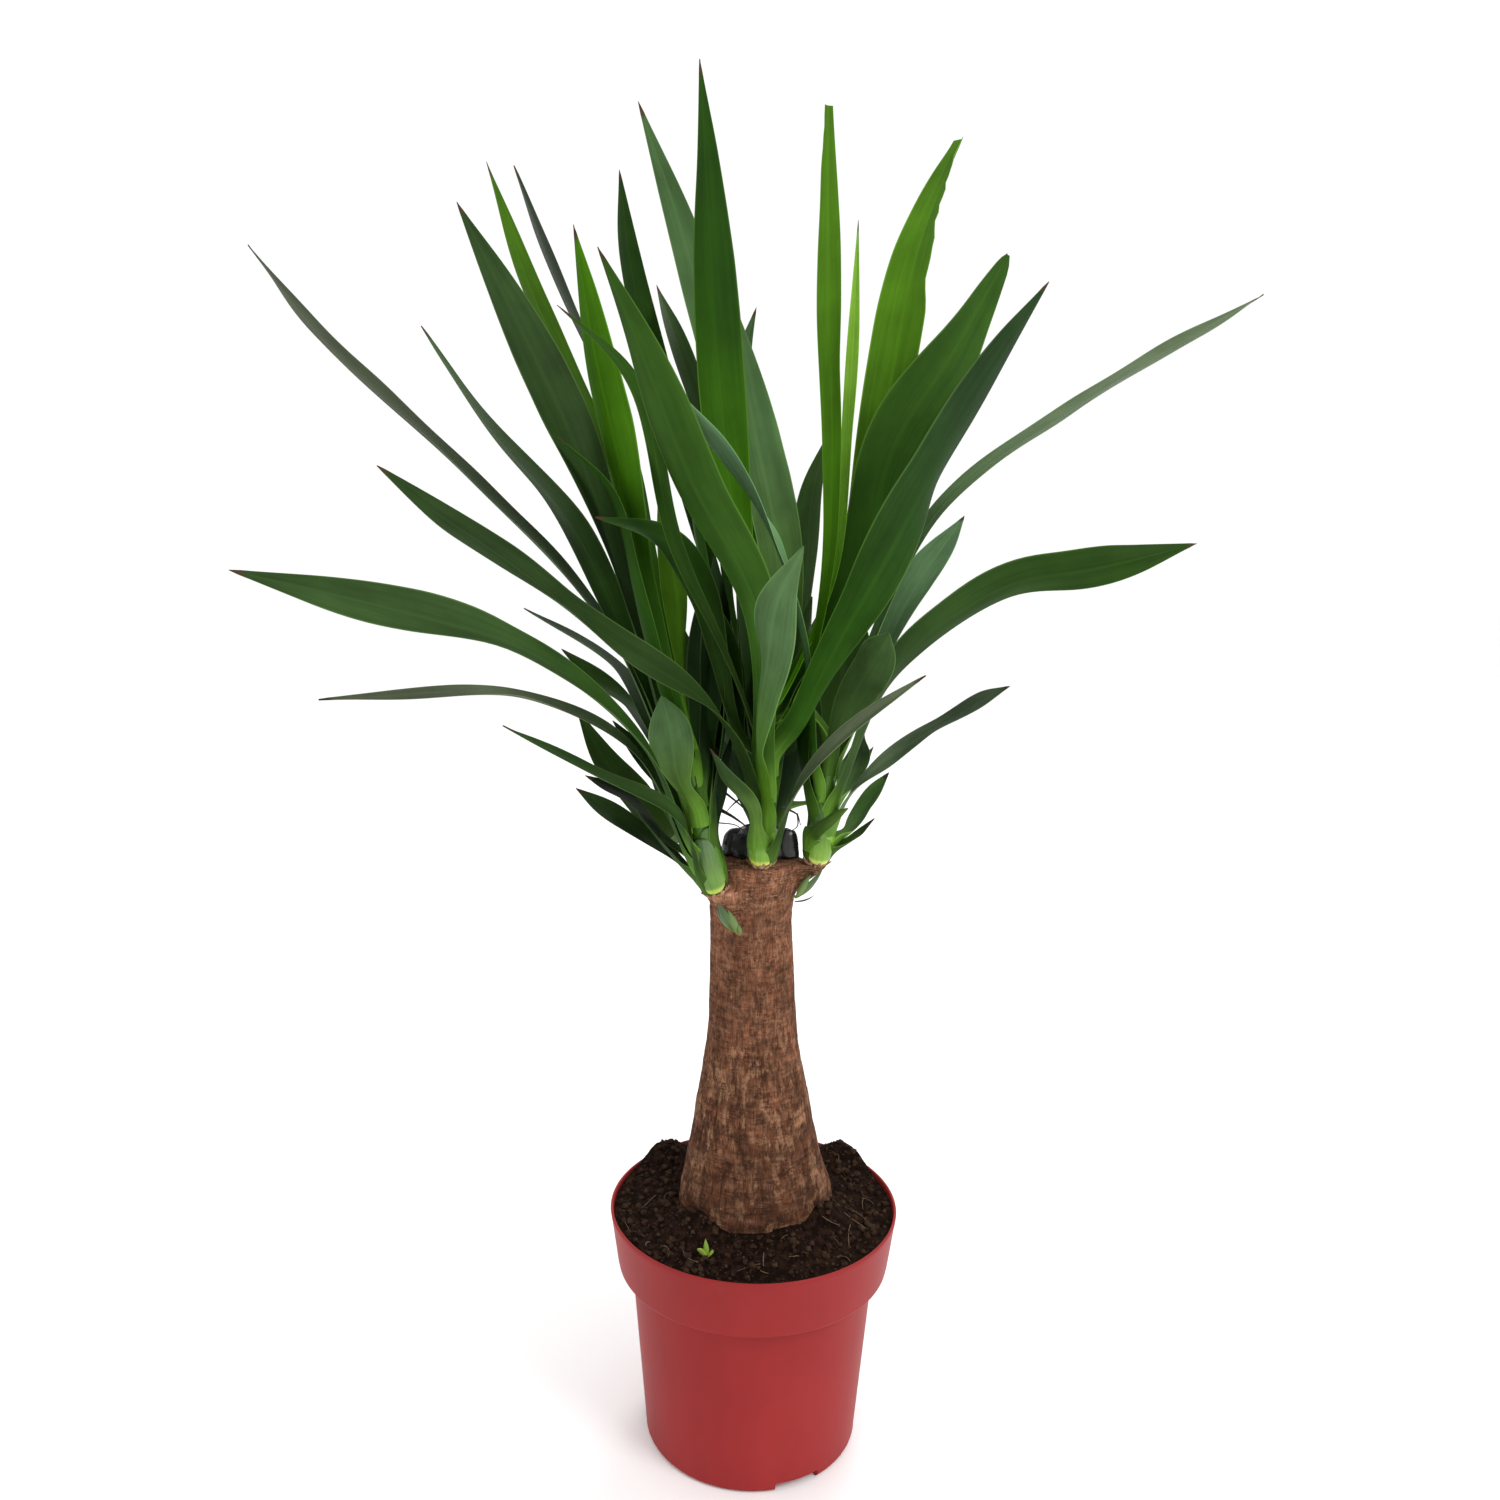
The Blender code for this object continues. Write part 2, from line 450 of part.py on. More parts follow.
def pointed_bud(name, foot, tip, radii, mat):
    """A small pointed bud from foot to tip (mm), radii (wide, thin), the thin way facing out."""
    foot, tip = Vector(foot), Vector(tip)
    axis = (tip - foot).normalized()
    out = Vector((foot.x, foot.y, 0.0)).normalized()
    wide = axis.cross(out).normalized()
    thin = wide.cross(axis)
    rings = []
    for t, k in ((0.0, .45), (.12, .85), (.32, 1.0), (.55, .86), (.78, .5), (1.0, .08)):
        c = foot.lerp(tip, t)
        rings.append([tuple(c + wide * radii[0] * k * math.cos(math.tau * i / 8)
                            + thin * radii[1] * k * math.sin(math.tau * i / 8)) for i in range(8)])
    return loft(name, rings, mat)


for old in list(bpy.data.objects):
    bpy.data.objects.remove(old, do_unlink=True)
PLANT = new_collection("potted_yucca")
CUTTERS = new_collection("cutters")
MAT_POT = material("red_plastic", (0.36, 0.035, 0.032), 0.42)
MAT_SOIL = material("peat", (0.022, 0.014, 0.009), 0.95)
MAT_BARK = material("bark", (0.21, 0.105, 0.058), 0.85)
MAT_WAX = material("sealing_wax", (0.012, 0.012, 0.014), 0.35)
MAT_STEM = material("young_stem", (0.25, 0.42, 0.06), 0.45)
MAT_LEAF = material("leaf", (0.035, 0.13, 0.022), 0.42)
MAT_BUD = material("bud", (0.14, 0.27, 0.05), 0.5)

make_pot()
make_soil()
make_cane()
make_wax()
for key in SHOOTS:
    make_shoot(key)
for leaf_name, leaf_row in LEAVES.items():
    make_leaf(leaf_name, leaf_row)
pointed_bud("bud_front", (-14.6, -26.8, 323.5), (-22.8, -34.6, 341), (4.0, 1.8), MAT_BUD)
pointed_bud("bud_side", (22.6, -12.6, 339), (35.4, -16.2, 356), (2.4, 1.4), MAT_BUD)
pointed_bud("soil_sprout", (-27, -56, 145.6), (-28.5, -59, 156), (2.6, 2.0), MAT_BUD)
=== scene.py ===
"""Looks of the potted yucca: camera, light, floor, and a detailed piece for every CAD node.
Millimetres in the tables, metres in the meshes."""
import math

import bmesh
import bpy
import numpy as np
from mathutils import Matrix, Vector


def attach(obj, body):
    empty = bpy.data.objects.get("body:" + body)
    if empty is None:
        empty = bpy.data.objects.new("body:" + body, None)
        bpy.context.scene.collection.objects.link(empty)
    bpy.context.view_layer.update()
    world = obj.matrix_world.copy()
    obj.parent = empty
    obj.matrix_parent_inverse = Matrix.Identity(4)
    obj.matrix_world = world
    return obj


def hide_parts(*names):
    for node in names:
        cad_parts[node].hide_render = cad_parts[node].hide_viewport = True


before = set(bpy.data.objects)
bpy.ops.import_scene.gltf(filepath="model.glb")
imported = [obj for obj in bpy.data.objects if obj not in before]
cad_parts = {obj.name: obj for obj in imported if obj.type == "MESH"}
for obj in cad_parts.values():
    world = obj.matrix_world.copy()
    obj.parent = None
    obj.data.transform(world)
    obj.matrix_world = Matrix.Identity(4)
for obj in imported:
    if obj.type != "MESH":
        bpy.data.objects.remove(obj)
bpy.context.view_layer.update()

MM = 0.001

# ------------------------------------------------------------------ dimensions, as in the CAD
POT_H, RIM_R, COLLAR_BOTTOM_Z, COLLAR_BOTTOM_R = 146.4, 85.0, 110.5, 80.0
BODY_TOP_R, FOOT_R, WALL, FLOOR = 72.2, 63.9, 1.7, 2.2
POCKET_AZIMUTHS, POCKET_HALF_ANGLE = (-65.0, 55.0, 175.0), 12.5
POCKET_H, POCKET_INNER_R, POCKET_ROOF, DRAIN_R = 5.4, 49.0, 1.7, 3.2
CANE = (
    (52, 38.0, 0.0), (60, 41.0, 0.0), (90, 43.5, 0.0), (125, 44.0, 0.0), (146, 44.0, 0.0),
    (153, 43.3, 0.0), (163, 42.3, 0.0), (173, 40.4, 0.0), (186, 37.6, -0.4), (198, 35.2, -0.8),
    (211, 33.3, -1.1), (224, 31.1, -1.3), (236, 28.7, -1.7), (249, 26.5, -2.0), (261, 25.4, -2.2),
    (285, 24.3, -2.8), (310, 23.3, -3.5), (322, 22.9, -4.0), (328, 23.2, -4.0), (334, 23.8, -3.9),
    (343, 24.6, -3.0), (351, 25.4, -2.5), (357, 25.6, -2.4), (360, 24.8, -2.6),
)
SHOOTS = {
    "left": ((-24, -27, 347), (-30, -31, 374), (-35, -34, 402), (-40, -36, 430)),
    "centre": ((1, -20, 361), (2, -22, 384), (3, -24, 414), (3, -26, 446)),
    "right": ((32, -5, 358), (34, -7, 378), (36, -9, 402), (41, -12, 438)),
    "back": ((5, 34, 350), (5, 38, 376), (6, 42, 404), (7, 46, 428)),
}
SHOOT_RADIUS = ((0.0, 5.6), (0.12, 7.2), (0.3, 6.2), (0.6, 4.8), (1.0, 2.6))
LEAF_OUTLINE = (
    (0.00, .50), (.06, .44), (.13, .40), (.22, .46), (.33, .62), (.42, .79), (.52, .92), (.62, 1.0),
    (.72, .93), (.80, .76), (.87, .54), (.94, .26), (1.0, .02),
)
TWIST_AT = (0, .15, .35, .60, .85, 1.0)
LEAVES = {
    # left shoot
    "leaf_left_01": ("left", 54, 165, ((-85, 1, 488), (-160, 12, 567), (-234, 22, 633), (-289, 52, 694)), 25, (0, 5, -5)),
    "leaf_left_02": ("left", 60, 170, ((-74, -5, 481), (-108, 22, 544), (-155, 45, 594), (-196, 61, 653)), 26, (-45, -10, 0)),
    "leaf_left_03": ("left", 66, 170, ((-66, -24, 483), (-99, -10, 580), (-164, 13, 710)), 32, (-5, -40, -40)),
    "leaf_left_04": ("left", 88, 115, ((-66, -4, 505), (-90, 17, 584), (-131, 46, 671), (-158, 69, 743)), 18, (5, 30, 10)),
    "leaf_left_05": ("left", 80, 125, ((-58, 20, 496), (-78, 63, 588), (-121, 101, 677), (-155, 146, 759)), 20, (45, 50, 20)),
    "leaf_left_06": ("left", 92, 245, ((-61, -26, 504), (-76, -17, 573), (-91, -3, 635), (-102, 6, 698)), 28, (-40, -20, -20)),
    "leaf_left_07": ("left", 78, 250, ((-66, -42, 509), (-82, -27, 563), (-108, -24, 589)), 17, (-25, -55, -55)),
    "leaf_left_08": ("left", 70, 5, ((-41, -16, 446), (-46, -9, 499), (-57, 4, 570)), 16, (-20, -65, -75)),
    "leaf_left_09": ("left", 50, 255, ((-44, -48, 414), (-48, -57, 442), (-52, -65, 461)), 24, (10, 25, 30)),
    "leaf_left_10": ("left", 24, 195, ((-59, -73, 434), (-87, -94, 468), (-115, -112, 490), (-155, -118, 503), (-236, -143, 526)),
                     27, (-20, -20, -75)),
    "leaf_left_11": ("left", 12, 190, ((-68, -35, 427), (-119, -56, 457), (-147, -70, 462), (-218, -86, 460)), 14, (-25, -5, -30)),
    "leaf_left_12": ("left", 3, 225, ((-44, -60, 398), (-82, -79, 422), (-125, -105, 452)), 12, (-70, -30, -35)),
    "leaf_left_13": ("left", 3, 170, ((-52, -8, 364), (-75, -4, 378), (-104, 5, 397)), 18, (-20, -15, -30)),
    "leaf_left_14": ("left", 12, 125, ((-55, -10, 372), (-76, 11, 390), (-101, 25, 400)), 14, (10, 25, -15)),
    "leaf_left_15": ("left", 46, 140, ((-62, 1, 435), (-82, 25, 462), (-139, 53, 494)), 19, (0, 20, 10)),
    "leaf_left_16": ("left", 36, 125, ((-58, 4, 423), (-79, 40, 440), (-120, 72, 468)), 16, (-5, 25, -30)),
    "leaf_left_17": ("left", 34, 125, ((-53, 32, 358), (-75, 58, 381), (-94, 71, 399), (-112, 79, 430)), 22, (0, -10, -10)),
    # middle shoot
    "leaf_centre_01": ("centre", 46, 245, ((-4, -61, 503), (-37, -76, 566), (-61, -100, 627), (-77, -119, 665)), 32, (-5, -10, -15)),
    "leaf_centre_02": ("centre", 88, 195, ((-3, -33, 484), (-16, -27, 547), (-27, -22, 634), (-36, -22, 770)), 30, (-95, -70, -55)),
    "leaf_centre_03": ("centre", 80, 135, ((-1, 25, 472), (-21, 60, 606), (-45, 76, 699), (-73, 74, 777)), 25, (5, -15, -35)),
    "leaf_centre_04": ("centre", 80, 40, ((16, -23, 443), (32, -25, 512), (34, -21, 584), (31, -16, 653), (28, -9, 753)),
                       13, (45, 15, 75), 0.9),
    "leaf_centre_05": ("centre", 96, 45, ((13, -10, 455), (38, -6, 520), (44, -1, 605), (47, 12, 703)), 8, (10, -5, 50)),
    "leaf_centre_06": ("centre", 66, 25, ((15, -5, 448), (45, 10, 505), (67, 33, 609), (84, 54, 694), (114, 102, 766)),
                       31, (60, 40, 15), 0.93),
    "leaf_centre_07": ("centre", 74, 40, ((13, -7, 452), (49, -4, 515), (68, -1, 587), (99, 12, 636), (130, 31, 690)),
                       35, (35, 45, 90), 0.96),
    "leaf_centre_08": ("centre", 60, 285, ((17, -37, 440), (30, -52, 473), (54, -65, 521), (94, -52, 595), (141, -22, 668)), 34, (-30, 45, 45)),
    "leaf_centre_09": ("centre", 3, 320, ((19, -63, 415), (39, -72, 442), (78, -82, 475)), 15, (40, 45, 45)),
    "leaf_centre_10": ("centre", 24, 280, ((-4, -75, 442), (0, -99, 482), (3, -118, 512), (14, -138, 539)), 26, (-90, -75, -15)),
    "leaf_centre_11": ("centre", 58, 145, ((-12, -21, 429), (-25, -21, 475), (-35, -30, 512), (-52, -44, 537), (-85, -61, 549)),
                       24, (0, -5, -10)),
    "leaf_centre_12": ("centre", 64, 155, ((-22, -38, 483), (-47, -56, 538), (-65, -69, 613), (-99, -88, 645)), 10, (-30, -30, -40)),
    "leaf_centre_13": ("centre", 30, 220, ((-25, -55, 451), (-74, -69, 487), (-128, -79, 529), (-160, -76, 550), (-184, -90, 572)),
                       26, (-60, -35, -65)),
    "leaf_centre_14": ("centre", 11, 240, ((-4, -41, 395), (-18, -64, 418), (-27, -80, 437)), 15, (0, 0, -20)),
    # right shoot
    "leaf_right_01": ("right", 70, 165, ((18, 12, 455), (10, 20, 525), (-6, 36, 597), (-19, 35, 666)), 31, (-70, -45, -40)),
    "leaf_right_02": ("right", 46, 200, ((21, -41, 479), (3, -52, 539), (-22, -55, 579), (-41, -88, 605)), 19, (-10, -30, 30)),
    "leaf_right_03": ("right", 88, 25, ((62, 7, 483), (99, 36, 553), (189, 79, 616), (310, 133, 686)), 20, (15, 0, 20)),
    "leaf_right_04": ("right", 34, 330, ((68, -38, 473), (97, -49, 502), (126, -51, 519), (164, -46, 525), (229, -14, 538)),
                      26, (-30, -40, -85)),
    "leaf_right_05": ("right", 60, 30, ((60, 12, 451), (81, 37, 496), (122, 82, 550)), 27, (-5, 10, 25)),
    "leaf_right_06": ("right", 20, 340, ((49, -21, 401), (74, -32, 428), (104, -52, 453), (118, -87, 471)), 15, (55, 20, 45)),
    "leaf_right_07": ("right", 62, 260, ((40, -47, 446), (48, -65, 469), (53, -93, 486), (55, -118, 499)), 24, (-10, -55, -30)),
    "leaf_right_08": ("right", 5, 350, ((50, -8, 371), (57, -3, 375), (65, 2, 382)), 7, (15, 25, 20)),
    "leaf_right_09": ("right", 10, 15, ((52, 8, 373), (61, 22, 382), (75, 24, 404)), 16, (10, 10, 20)),
    "leaf_right_10": ("right", 30, 20, ((53, 21, 400), (60, 40, 413), (62, 48, 431)), 22, (10, 10, -5)),
    "leaf_right_11": ("right", 12, 215, ((30, -29, 383), (38, -36, 392), (46, -40, 398)), 12, (-25, -25, -5)),
    # back shoot
    "leaf_back_01": ("back", 58, 145, ((-25, 65, 499), (-54, 95, 595), (-81, 132, 694), (-93, 184, 766)), 20, (-20, -15, -30)),
    "leaf_back_02": ("back", 68, 30, ((-5, 68, 503), (-10, 95, 583), (-13, 116, 636), (-4, 131, 675)), 22, (15, 15, 40)),
    "leaf_back_03": ("back", 96, 165, ((-18, 50, 491), (-30, 71, 582), (-50, 93, 644), (-66, 135, 688)), 22, (-15, -20, -30)),
    "leaf_back_04": ("back", 52, 40, ((19, 54, 449), (28, 75, 520), (31, 82, 564), (41, 92, 600)), 25, (-5, -5, 5)),
    "leaf_back_05": ("back", 24, 35, ((45, 47, 383), (57, 60, 391), (72, 82, 408)), 13, (0, 0, 0)),
    "leaf_back_06": ("back", 48, 70, ((11, 83, 417), (21, 151, 451), (33, 218, 487)), 25, (5, 0, 5)),
    "leaf_back_07": ("back", 40, 115, ((-11, 78, 398), (-30, 129, 436), (-36, 185, 461)), 24, (0, 5, 5)),
}

# green tones (linear colour); grey, sage, olive, ash and pale are greyed by painted sheen, the bright sky's reflection
# on glossy leaves
TONES = {
    "black": (0.010, 0.022, 0.007), "slate": (0.012, 0.030, 0.008), "deep": (0.011, 0.036, 0.003),
    "forest": (0.019, 0.068, 0.004), "dark": (0.023, 0.054, 0.009), "mid": (0.032, 0.090, 0.010),
    "fresh": (0.043, 0.140, 0.003), "bright": (0.066, 0.174, 0.008), "lime": (0.140, 0.295, 0.028),
    "moss": (0.040, 0.084, 0.022), "sap": (0.072, 0.144, 0.024), "grey": (0.068, 0.138, 0.046),
    "sage": (0.098, 0.190, 0.084), "olive": (0.096, 0.120, 0.068), "ash": (0.048, 0.072, 0.040),
    "pale": (0.126, 0.180, 0.094),
}
# leaf: tone near its foot, tone towards its tip, waviness in mm, brown share of the tip, how light foot and tip are.
# The tones and their lightness also carry painted light: the greyish tones and the change from foot to tip paint the
# leaf's sheen, and the lightest leaves are made light to stand for backlit leaves glowing
LEAF_LOOK = {
    "leaf_left_01": ("moss", "olive", 1.0, .03, .8, .46), "leaf_left_02": ("deep", "moss", 0.8, .03, 1.3, .9),
    "leaf_left_03": ("deep", "moss", 0.6, .02, .7, .62), "leaf_left_04": ("fresh", "bright", 0.5, .03, .6, .6),
    "leaf_left_05": ("fresh", "ash", 0.5, .03, .5, .42), "leaf_left_06": ("forest", "fresh", 0.6, .03, 1.0, 1.0),
    "leaf_left_07": ("forest", "forest", 0.3, .03, .8, .65), "leaf_left_08": ("bright", "bright", 0.4, .03, .8, 1.0),
    "leaf_left_09": ("sap", "grey", 0.5, .0, .95, .85), "leaf_left_10": ("mid", "moss", 1.4, .02, .65, .75),
    "leaf_left_11": ("moss", "olive", 0.9, .03, .9, .85), "leaf_left_12": ("dark", "moss", 0.8, .03, .8, .75),
    "leaf_left_13": ("moss", "moss", 0.5, .05, .7, .6), "leaf_left_14": ("moss", "black", 0.5, .05, .8, .5),
    "leaf_left_15": ("mid", "moss", 0.5, .03, .6, .5), "leaf_left_16": ("deep", "dark", 0.5, .03, .8, .9),
    "leaf_left_17": ("sap", "dark", 0.5, .03, .8, .9),
    "leaf_centre_01": ("mid", "mid", 0.8, .02, 1.2, .8), "leaf_centre_02": ("fresh", "forest", 0.4, .03, .95, .65),
    "leaf_centre_03": ("forest", "grey", 0.4, .03, 1.0, .85), "leaf_centre_04": ("fresh", "bright", 0.5, .0, .95, .75),
    "leaf_centre_05": ("fresh", "lime", 0.5, .02, 1.3, 1.25), "leaf_centre_06": ("bright", "bright", 0.8, .0, 1.0, .95),
    "leaf_centre_07": ("forest", "mid", 0.8, .0, .8, .85), "leaf_centre_08": ("forest", "slate", 0.5, .02, 1.1, 1.15),
    "leaf_centre_09": ("dark", "olive", 0.4, .04, .8, 1.2), "leaf_centre_10": ("bright", "grey", 0.8, .0, .8, .95),
    "leaf_centre_11": ("dark", "deep", 0.6, .02, .8, 1.2), "leaf_centre_12": ("dark", "mid", 0.5, .04, .7, .7),
    "leaf_centre_13": ("dark", "moss", 0.9, .02, .95, .5), "leaf_centre_14": ("sap", "moss", 0.4, .04, 1.25, .75),
    "leaf_right_01": ("sap", "grey", 0.5, .02, 1.0, .95), "leaf_right_02": ("forest", "sage", 0.5, .02, 1.0, 1.2),
    "leaf_right_03": ("grey", "pale", 1.2, .03, .9, .75), "leaf_right_04": ("moss", "mid", 1.4, .02, .8, .5),
    "leaf_right_05": ("grey", "sage", 0.6, .02, 1.0, .9), "leaf_right_06": ("pale", "ash", 0.7, .03, .9, 1.2),
    "leaf_right_07": ("dark", "moss", 0.6, .0, .9, .9), "leaf_right_08": ("dark", "dark", 0.3, .06, .8, .8),
    "leaf_right_09": ("moss", "moss", 0.4, .04, 1.2, 2.0), "leaf_right_10": ("moss", "moss", 0.4, .03, 1.4, 1.5),
    "leaf_right_11": ("forest", "sap", 0.3, .0, .8, .9),
    "leaf_back_01": ("mid", "deep", 0.4, .03, .8, .9), "leaf_back_02": ("mid", "grey", 0.4, .03, .8, .7),
    "leaf_back_03": ("mid", "dark", 0.4, .03, .9, .8), "leaf_back_04": ("forest", "moss", 0.4, .02, 1.0, 1.1),
    "leaf_back_05": ("sap", "dark", 0.4, .03, .8, 1.0), "leaf_back_06": ("dark", "mid", 0.6, .03, .9, .8),
    "leaf_back_07": ("dark", "mid", 0.6, .03, .9, .8),
}


# ------------------------------------------------------------------ helpers
def unit(v):
    return v / max(1e-12, float(np.linalg.norm(v)))


def smooth01(x, a, b):
    t = np.clip((x - a) / (b - a), 0, 1)
    return t * t * (3 - 2 * t)


def chance(ix, iy, iz, seed=0):
    """A fixed random value 0..1 for whole-number places."""
    h = (ix.astype(np.int64) * 374761393 + iy.astype(np.int64) * 668265263
         + iz.astype(np.int64) * 1440662683 + seed * 1274126177) & 0xFFFFFFFF
    h = ((h ^ (h >> 13)) * 1274126177) & 0xFFFFFFFF
    h = ((h ^ (h >> 16)) * 2246822519) & 0xFFFFFFFF
    return ((h ^ (h >> 15)) & 0xFFFFFF) / float(0xFFFFFF)


def noise(x, y, z, seed=0):
    """Smooth noise, -1..1."""
    x, y, z = np.broadcast_arrays(np.asarray(x, float), np.asarray(y, float), np.asarray(z, float))
    i, j, k = np.floor(x).astype(np.int64), np.floor(y).astype(np.int64), np.floor(z).astype(np.int64)
    u, v, w = x - i, y - j, z - k
    u, v, w = u * u * (3 - 2 * u), v * v * (3 - 2 * v), w * w * (3 - 2 * w)
    total = 0.0
    for a in (0, 1):
        for b in (0, 1):
            for c in (0, 1):
                weight = (u if a else 1 - u) * (v if b else 1 - v) * (w if c else 1 - w)
                total = total + weight * chance(i + a, j + b, k + c, seed)
    return total * 2 - 1


def layered(x, y, z, octaves=4, seed=0, gain=0.5):
    total, amp, norm = 0.0, 1.0, 0.0
    for o in range(octaves):
        total = total + amp * noise(x, y, z, seed + o * 17)
        norm += amp
        amp *= gain
        x, y, z = x * 2.03 + 5.1, y * 2.03 + 1.7, z * 2.03 + 9.2
    return total / norm


def cells(cx, cy, around, seed=0, power=4.0):
    """Uneven plates on a strip that closes after `around` cells: nearness of the plate's middle,
    gap to the next plate, and a random value of the plate."""
    ix, iy = np.floor(cx).astype(np.int64), np.floor(cy).astype(np.int64)
    first, second, value = np.full(cx.shape, 9.0), np.full(cx.shape, 9.0), np.zeros(cx.shape)
    for dx in (-1, 0, 1):
        for dy in (-1, 0, 1):
            jx, jy = ix + dx, iy + dy
            wx = np.mod(jx, around)
            zero = np.zeros_like(jx)
            px = jx + 0.5 + 0.42 * (2 * chance(wx, jy, zero, seed) - 1)
            py = jy + 0.5 + 0.42 * (2 * chance(wx, jy, zero + 1, seed) - 1)
            d = (np.abs(cx - px) ** power + np.abs(cy - py) ** power) ** (1 / power)
            r = chance(wx, jy, zero + 2, seed)
            closer = d < first
            second = np.where(closer, first, np.minimum(second, d))
            value = np.where(closer, r, value)
            first = np.where(closer, d, first)
    return first, second - first, value


def mesh_piece(name, verts, faces, mat, node=None, smooth=True, uv=None, colour=None, colour_name="tone",
               sharp=None):
    """A piece from points in mm; uv and colour are one value per point."""
    me = bpy.data.meshes.new(name)
    me.from_pydata([tuple(v) for v in np.asarray(verts, float) * MM], [], [tuple(int(i) for i in f) for f in faces])
    me.validate()
    if uv is not None:
        loops = np.zeros(len(me.loops), dtype=np.int64)
        me.loops.foreach_get("vertex_index", loops)
        for layer_name, values in uv.items():
            layer = me.uv_layers.new(name=layer_name)
            layer.data.foreach_set("uv", np.asarray(values, float)[loops].astype(np.float32).ravel())
    if colour is not None:
        for key, values in (colour.items() if isinstance(colour, dict) else ((colour_name, colour),)):
            layer = me.color_attributes.new(name=key, type="FLOAT_COLOR", domain="POINT")
            rgba = np.ones((len(me.vertices), 4), dtype=np.float32)
            rgba[:, :3] = np.asarray(values, float)
            layer.data.foreach_set("color", rgba.ravel())
    o = bpy.data.objects.new(name, me)
    bpy.context.scene.collection.objects.link(o)
    if smooth:
        me.shade_smooth()
        if sharp:
            me.set_sharp_from_angle(angle=math.radians(sharp))
    me.materials.append(mat)
    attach(o, "root")
    if node:
        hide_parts(*([node] if isinstance(node, str) else node))
    return o


def grid_faces(rows, cols, close=False, start=0, flip=False):
    faces = []
    for i in range(rows - 1):
        for j in range(cols if close else cols - 1):
            a, b = start + i * cols + j, start + i * cols + (j + 1) % cols
            c, d = b + cols, a + cols
            faces.append((a, d, c, b) if flip else (a, b, c, d))
    return faces


# ------------------------------------------------------------------ curves through points
def smooth_curve(points, start_dir, per=16):
    P = [np.array(p, float) for p in points]
    lead = float(np.linalg.norm(P[1] - P[0]))
    P = [P[1] - 2 * unit(np.array(start_dir, float)) * lead * 0.9] + P + [2 * P[-1] - P[-2]]
    out = []
    for p0, p1, p2, p3 in zip(P, P[1:], P[2:], P[3:]):
        t1 = float(np.linalg.norm(p1 - p0)) ** 0.5
        t2 = t1 + float(np.linalg.norm(p2 - p1)) ** 0.5
        t3 = t2 + float(np.linalg.norm(p3 - p2)) ** 0.5
        for k in range(per):
            t = t1 + (t2 - t1) * k / per
            a1 = (t1 - t) / t1 * p0 + t / t1 * p1
            a2 = (t2 - t) / (t2 - t1) * p1 + (t - t1) / (t2 - t1) * p2
            a3 = (t3 - t) / (t3 - t2) * p2 + (t - t2) / (t3 - t2) * p3
            b1 = (t2 - t) / t2 * a1 + t / t2 * a2
            b2 = (t3 - t) / (t3 - t1) * a2 + (t - t1) / (t3 - t1) * a3
            out.append((t2 - t) / (t2 - t1) * b1 + (t - t1) / (t2 - t1) * b2)
    out.append(P[-2])
    return np.array(out)


def even(path, n):
    seg = np.linalg.norm(np.diff(path, axis=0), axis=1)
    s = np.concatenate([[0], np.cumsum(seg)])
    u = np.linspace(0, 1, n)
    return np.stack([np.interp(u, s / s[-1], path[:, k]) for k in range(3)], axis=1), u, float(s[-1])


def rounded(path, times=2):
    """The path with its small corners eased, its two ends kept."""
    p = path.copy()
    for _ in range(times):
        p[1:-1] = 0.25 * p[:-2] + 0.5 * p[1:-1] + 0.25 * p[2:]
    return p


def shoot_line(key, n=60):
    p = [np.array(q, float) for q in SHOOTS[key]]
    return even(smooth_curve(p, unit(p[1] - p[0])), n)


def shoot_radius(t, key=""):
    slim = np.interp(t, (0.12, 0.40), (1.0, 0.76)) if key == "centre" else 1.0
    return slim * np.interp(t, [a for a, b in SHOOT_RADIUS], [b for a, b in SHOOT_RADIUS])


def on_shoot(key, height, azimuth):
    """Shoot axis point, its direction, the way out at an azimuth, and the shoot's radius there."""
    pts, u, length = shoot_line(key)
    t = min(1.0, max(0.0, height / length))
    c = np.array([np.interp(t, u, pts[:, k]) for k in range(3)])
    i = min(len(pts) - 2, int(t * (len(pts) - 1)))
    d = unit(pts[i + 1] - pts[i])
    a = math.radians(azimuth)
    o = np.array([math.cos(a), math.sin(a), 0.0])
    return c, d, unit(o - (o @ d) * d), float(shoot_radius(t, key))


